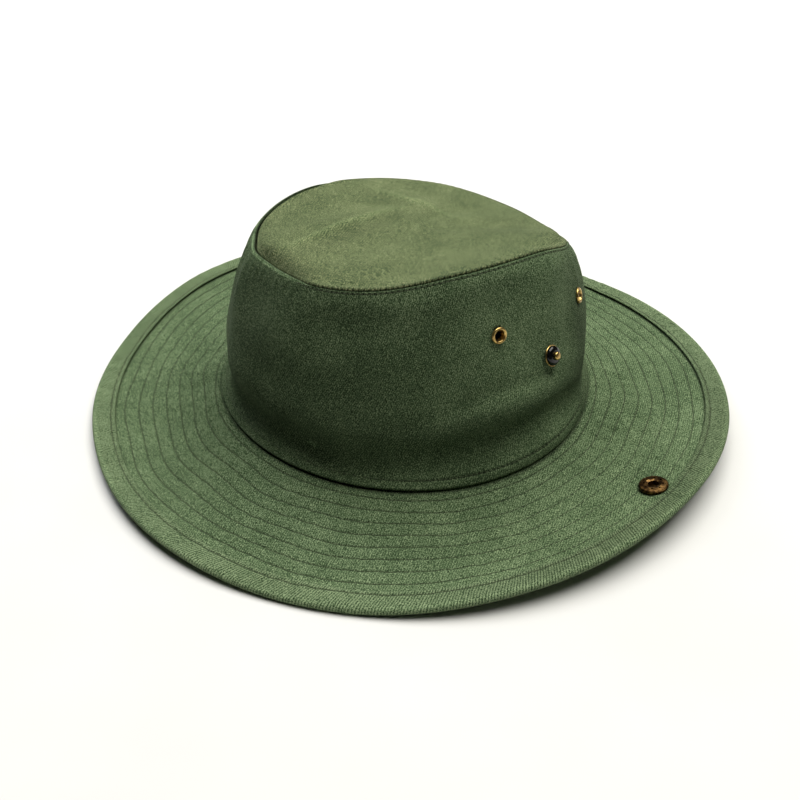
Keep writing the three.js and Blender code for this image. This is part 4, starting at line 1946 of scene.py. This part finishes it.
@dataclass(frozen=True)
class Eyelet:
    """Brass eyelet with a rolled rim, a funnel throat and a clinched rear flange, in millimetres."""

    hole: float = 2.0
    barrel: float = 2.6
    flange: float = 3.9
    roll: float = 0.75
    face: float = 0.2
    crown: float = 1.3
    rear: float = -2.4
    back: float = -3.0

    def turning(self, name: str) -> Turning:
        """Profile of the eyelet, from its throat out over its rim and back.

        Args:
            name: name of the piece.

        Returns:
            The eyelet, ready to be made.
        """
        edge = self.flange - 0.2
        throat = [(self.hole, self.back), (self.hole, -0.9), (self.hole + 0.12, -0.3)]
        throat.append((self.hole + 0.4, self.face))
        middle = (self.flange - self.roll, self.crown - self.roll)
        rounded = arc(middle, (self.roll, self.roll), range(160, -31, -19))
        outside = [(edge, self.face), (self.barrel, self.face), (self.barrel, self.rear)]
        return Turning(name, [*throat, *rounded, *outside, (edge, self.rear), (edge, self.back)])


@dataclass(frozen=True)
class SnapStud:
    """Brass stud post that holds a domed black collar against the cloth, in millimetres."""

    nub: float = 1.95
    out: float = 4.8
    barrel: float = 1.6
    washer: float = 5.1
    face: float = 0.9
    thick: float = 0.5
    back: float = 4.5
    rear: float = -2.4
    cap: float = 0.8
    pole: float = 0.1
    dome_inner: float = 2.3
    dome_outer: float = 4.6
    dome_rise: float = 1.6

    def post(self, name: str) -> Turning:
        """Profile of the post, from its rear cap to its rounded nub.

        Args:
            name: name of the piece.

        Returns:
            The post, ready to be made.
        """
        low, edge, top = self.rear - self.cap, self.washer - 0.15, self.face + self.thick
        cap = [(self.pole, low), (self.back, low), (self.back, self.rear)]
        shank = [(self.barrel, self.rear), (self.barrel, self.face), (edge, self.face)]
        rim = [(self.washer, self.face + self.thick / 2), (edge, top)]
        neck = [(self.barrel, top), (self.barrel, self.out - 1.6), (self.nub, self.out - 1.3)]
        nub = [(self.nub, self.out - 0.6), (self.nub * 0.9, self.out - 0.2), (self.nub * 0.6, self.out)]
        return Turning(name, [*cap, *shank, *rim, *neck, *nub, (self.pole, self.out)])

    def collar(self, name: str) -> Turning:
        """Profile of the collar, a dome with a dished middle.

        Args:
            name: name of the piece.

        Returns:
            The collar, ready to be made.
        """
        base = self.face + self.thick + FORM.gap
        half = (self.dome_outer - self.dome_inner, self.dome_rise)
        dome = arc((self.dome_inner, base), half, range(0, 100, 11))
        dish = (self.dome_inner, base + self.dome_rise * 0.8)
        return Turning(name, [(self.dome_inner, base), *dome, dish])


# ---- stitching ----


@dataclass(frozen=True)
class ThreadRing:
    """A ring of points round a stitch.

    Args:
        place: how far it is along the stitch from its middle, as a share of its length.
        width: its width as a share of the thread's.
        rise: height of its middle over the cloth, in widths of the thread.
    """

    place: float
    width: float
    rise: float


@dataclass
class Stitching:
    """Visible stitches, each a short length of thread that dips into its needle holes.

    Args:
        name: name of the piece.
        seed: start of its random draws.
        thick: width of the thread in millimetres.
        length: length of a stitch as a share of the row's pitch.
        lean: spread of the stitches' slant.
        sides: number of sides of the thread.
        reach: sideways step in millimetres for the slope of the cloth.
        rings: rings of points that make up a stitch.
        tracks: middles, lengthwise vectors and outward vectors of the stitches of each row.
    """

    name: str
    seed: int
    thick: float = 0.42
    length: float = 0.8
    lean: float = 0.06
    sides: int = 6
    reach: float = 0.4
    rings: tuple[ThreadRing, ...] = (
        ThreadRing(-0.5, 0.35, -0.42),
        ThreadRing(-0.36, 0.8, 0.1),
        ThreadRing(0, 1, 0.42),
        ThreadRing(0.36, 0.8, 0.1),
        ThreadRing(0.5, 0.35, -0.42),
    )
    tracks: list[tuple[Array, Array, Array]] = field(default_factory=list)

    def follow(
        self,
        row: StitchRow,
        surface: Callable[[Array, float], Array],
        keep: Callable[[Array], Array] | None = None,
    ) -> None:
        """Lay a row of stitches on a surface.

        Args:
            row: the row.
            surface: function from angles and a small sideways shift to points of the cloth.
            keep: function from angles to a share, with stitches made where it is over a half.
        """
        at = row.middles()
        if keep is not None:
            at = at[keep(at) > 0.5]
        half = 180.0 / row.count
        along = surface(at + half, 0.0) - surface(at - half, 0.0)
        out = np.cross(along, surface(at, self.reach) - surface(at, -self.reach))
        out /= np.linalg.norm(out, axis=-1, keepdims=True)
        out *= np.where(out[:, 2:] < -0.2, -1.0, 1.0)
        self.tracks.append((surface(at, 0.0), along, out))

    def bodies(self, centres: Array, along: Array, out: Array, lean: Array) -> Array:
        """Points of the stitches of one row.

        Args:
            centres: middle of each stitch.
            along: vector of each stitch from needle hole to needle hole.
            out: unit vector out of the cloth at each stitch.
            lean: slant of each stitch to the side.

        Returns:
            The points, ring after ring and stitch after stitch.
        """
        turn = np.arange(self.sides)[None, :, None] * math.tau / self.sides
        side = np.cross(along, out)
        side /= np.linalg.norm(side, axis=-1, keepdims=True)
        run = along + side * lean * np.linalg.norm(along, axis=-1, keepdims=True)
        spokes = (np.cos(turn) * side[:, None] + np.sin(turn) * out[:, None]) * self.thick / 2
        bodies = []
        for ring in self.rings:
            middle = centres + run * ring.place * self.length + out * ring.rise * self.thick
            bodies.append(middle[:, None] + ring.width * spokes)
        return np.stack(bodies, axis=1).reshape(-1, 3)

    def faces(self, count: int) -> list[list[int]]:
        """Faces of all the stitches.

        Args:
            count: number of points.

        Returns:
            Point numbers of each face.
        """
        size = len(self.rings) * self.sides
        starts = np.arange(0, count, size)[:, None]
        low = np.arange(size - self.sides).reshape(-1, self.sides)
        ahead = np.roll(low, -1, axis=1)
        walls = np.stack([low, ahead, ahead + self.sides, low + self.sides], axis=-1).reshape(-1, 4)
        first, last = np.arange(self.sides)[::-1], np.arange(size - self.sides, size)
        sides = (walls + starts[:, None]).reshape(-1, 4)
        return sides.tolist() + (first + starts).tolist() + (last + starts).tolist()

    def build(self, material: bpy.types.Material) -> bpy.types.Object:
        """Make all the stitches as one mesh and settle it.

        Args:
            material: finish of the thread.

        Returns:
            The finished piece.
        """
        draw = np.random.default_rng(self.seed)
        points = []
        for centres, along, out in self.tracks:
            lean = draw.normal(0, self.lean, (len(centres), 1))
            points.append(self.bodies(centres, along, out, lean))
        points = np.concatenate(points)
        mesh = bpy.data.meshes.new(self.name)
        mesh.from_pydata((points * MM).tolist(), [], self.faces(len(points)))
        mesh.polygons.foreach_set("use_smooth", np.ones(len(mesh.polygons), bool))
        piece = bpy.data.objects.new(self.name, mesh)
        bpy.context.scene.collection.objects.link(piece)
        only(piece)
        bpy.ops.object.mode_set(mode="EDIT")
        bpy.ops.mesh.select_all(action="SELECT")
        bpy.ops.mesh.normals_make_consistent(inside=False)
        bpy.ops.object.mode_set(mode="OBJECT")
        return settle(piece, Slot.TWILL, material)


# ---- studio ----


@dataclass(frozen=True)
class View:
    """A place in the room from which something looks at the hat.

    Args:
        turn: direction from the hat, in degrees from the front.
        elevation: degrees over the floor.
        away: distance in metres.
    """

    turn: float
    elevation: float
    away: float

    def hang(self, name: str, data: bpy.types.ID, aim: float = 0.0) -> bpy.types.Object:
        """Put a camera or a light there.

        Args:
            name: its name.
            data: its settings.
            aim: height that it looks at in metres.

        Returns:
            The new object.
        """
        a, e = math.radians(self.turn), math.radians(self.elevation)
        way = Vector((math.sin(a) * math.cos(e), -math.cos(a) * math.cos(e), math.sin(e)))
        item = bpy.data.objects.new(name, data)
        bpy.context.scene.collection.objects.link(item)
        item.location = Vector((0, 0, aim)) + way * self.away
        item.rotation_euler = (-way).to_track_quat("-Z", "Y").to_euler()
        return item


@dataclass(frozen=True)
class SoftLight:
    """A square soft light.

    Args:
        name: name of the light.
        view: its place.
        side: its side in metres.
        power: its power in watts.
        colour: its colour.
    """

    name: str
    view: View
    side: float
    power: float
    colour: str

    def build(self) -> None:
        """Hang the light up."""
        data = bpy.data.lights.new(self.name, "AREA")
        data.shape = "SQUARE"
        data.size = self.side
        data.energy = self.power
        data.color = linear(self.colour)[:3]
        self.view.hang(self.name, data)


@dataclass
class Studio:
    """Pale floor, soft lights, a dim even surround and the camera."""

    view: View = View(40.24, 34.08, 0.53926)
    aim_height: float = 3.5
    lens: float = 45.22
    sensor: float = 36.0
    shift: Place = (-0.0092, -0.0228)
    nearest: float = 0.01
    floor_side: float = 8.0
    key: SoftLight = SoftLight("overhead_softbox", View(178, 72, 2.6), 2.6, 134, "#fffdf6")
    fill: SoftLight = SoftLight("left_fill", View(262, 46, 2.6), 1.3, 24, "#f4f7ff")
    surround: str = "#eef1f4"
    surround_strength: float = 0.01

    def camera(self) -> None:
        """Set up the camera."""
        data = bpy.data.cameras.new("camera")
        data.lens = self.lens
        data.sensor_width = self.sensor
        data.shift_x, data.shift_y = self.shift
        data.clip_start = self.nearest
        bpy.context.scene.camera = self.view.hang("camera", data, self.aim_height * MM)

    def room(self) -> None:
        """Add the floor, the lights and the surround."""
        bpy.ops.object.select_all(action="DESELECT")
        bpy.ops.mesh.primitive_plane_add(size=self.floor_side, location=(0, 0, 0))
        floor = bpy.context.active_object
        floor.name = "studio_floor"
        floor.data.materials.append(StudioFloor().make())
        self.key.build()
        self.fill.build()
        world = bpy.data.worlds.new("studio_surround")
        world.use_nodes = True
        background = world.node_tree.nodes["Background"]
        background.inputs["Color"].default_value = linear(self.surround)
        background.inputs["Strength"].default_value = self.surround_strength
        bpy.context.scene.world = world
        bpy.context.scene.view_settings.view_transform = "Standard"


# ---- the hat ----


@dataclass
class OutbackHat:
    """The whole hat."""

    side: CrownSide = field(default_factory=CrownSide)
    tip: CrownTip = field(default_factory=CrownTip)
    brim: Brim = field(default_factory=Brim)
    binding: Binding = field(default_factory=Binding)

    def on_side(self, at: Array, place: float, aside: float) -> Array:
        """Points of the side panel's outer face, for the stitches."""
        return self.side.surface(at, (place - aside) / FORM.panel_height + 0 * at)

    def sew(self) -> None:
        """Lay the visible stitches."""
        thread = SpunThread().make()
        quilting = Stitching("brim_stitching", 51)
        for index, place in enumerate(self.brim.rows()):
            row = self.brim.row(index)
            quilting.follow(row, lambda at, aside, d=place: self.brim.top(at, d + aside + 0 * at))
        quilting.build(thread)
        edging = Stitching("seam_stitching", 52)
        bound = self.binding.stitch
        edging.follow(self.binding.row, lambda at, aside: self.binding.top(at, bound + aside + 0 * at))
        top, foot = FORM.panel_height - self.side.top_stitch, self.side.foot_stitch
        edging.follow(self.side.row, lambda at, aside: self.on_side(at, top, aside), FORM.tip_covers)
        edging.follow(self.side.foot_row, lambda at, aside: self.on_side(at, foot, aside))
        edging.build(thread)

    def dress_fittings(self) -> None:
        """Make the metal fittings of the side panel, and give the snap socket its finish."""
        brass = AgedBrass("stamped_brass", "#c9ab6a", "#5e4220", roughness=0.3, wear=0.42).make()
        for name, hole in (("eyelet_front", EYELET_FRONT), ("eyelet_rear", EYELET_REAR)):
            Eyelet().turning(f"{name}_ring").build(Spot.on_side(hole), Slot.BRASS, brass, name)
        stud, spot = SnapStud(), Spot.on_side(STUD)
        stud.post("stud_post_turned").build(spot, Slot.BRASS, brass, "stud_post")
        stud.collar("stud_collar_dome").build(spot, Slot.BLACK, BlackLacquer().make(), "stud_collar")
        antique = AgedBrass("antique_brass", "#8f6f42", "#2a1c0e", roughness=0.34, wear=0.57).make()
        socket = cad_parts["snap_socket"]
        socket.data.materials.clear()
        socket.data.materials.append(antique)
        LOG.info("snap_socket: finished")

    def build(self) -> None:
        """Build and dress every piece."""
        twill = CottonTwill("cotton_twill").make()
        side = self.side.build(CottonTwill("cotton_twill_side", slant=-30).make())
        punch(side, {hole: Spot.on_side(hole) for hole in (EYELET_FRONT, EYELET_REAR, STUD)})
        # The tip's dye is yellower than the rest: partly sun-faded cloth, partly painted warm light on the
        # lit top.
        self.tip.build(CottonTwill("cotton_twill_tip_faded_and_painted_light", body="#4a593a", worn_and_painted_light="#949971").make())
        brim = self.brim.build(twill)
        punch(brim, {SOCKET: Spot.on_brim(SOCKET)})
        self.binding.build(CottonTwill("cotton_twill_binding", slant=25, rib=1.2, ribbed=0.16).make())
        self.sew()
        self.dress_fittings()


def main() -> None:
    """Build the studio and the hat."""
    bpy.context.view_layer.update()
    studio = Studio()
    studio.camera()
    studio.room()
    OutbackHat().build()


if __name__ == "__main__":
    main()
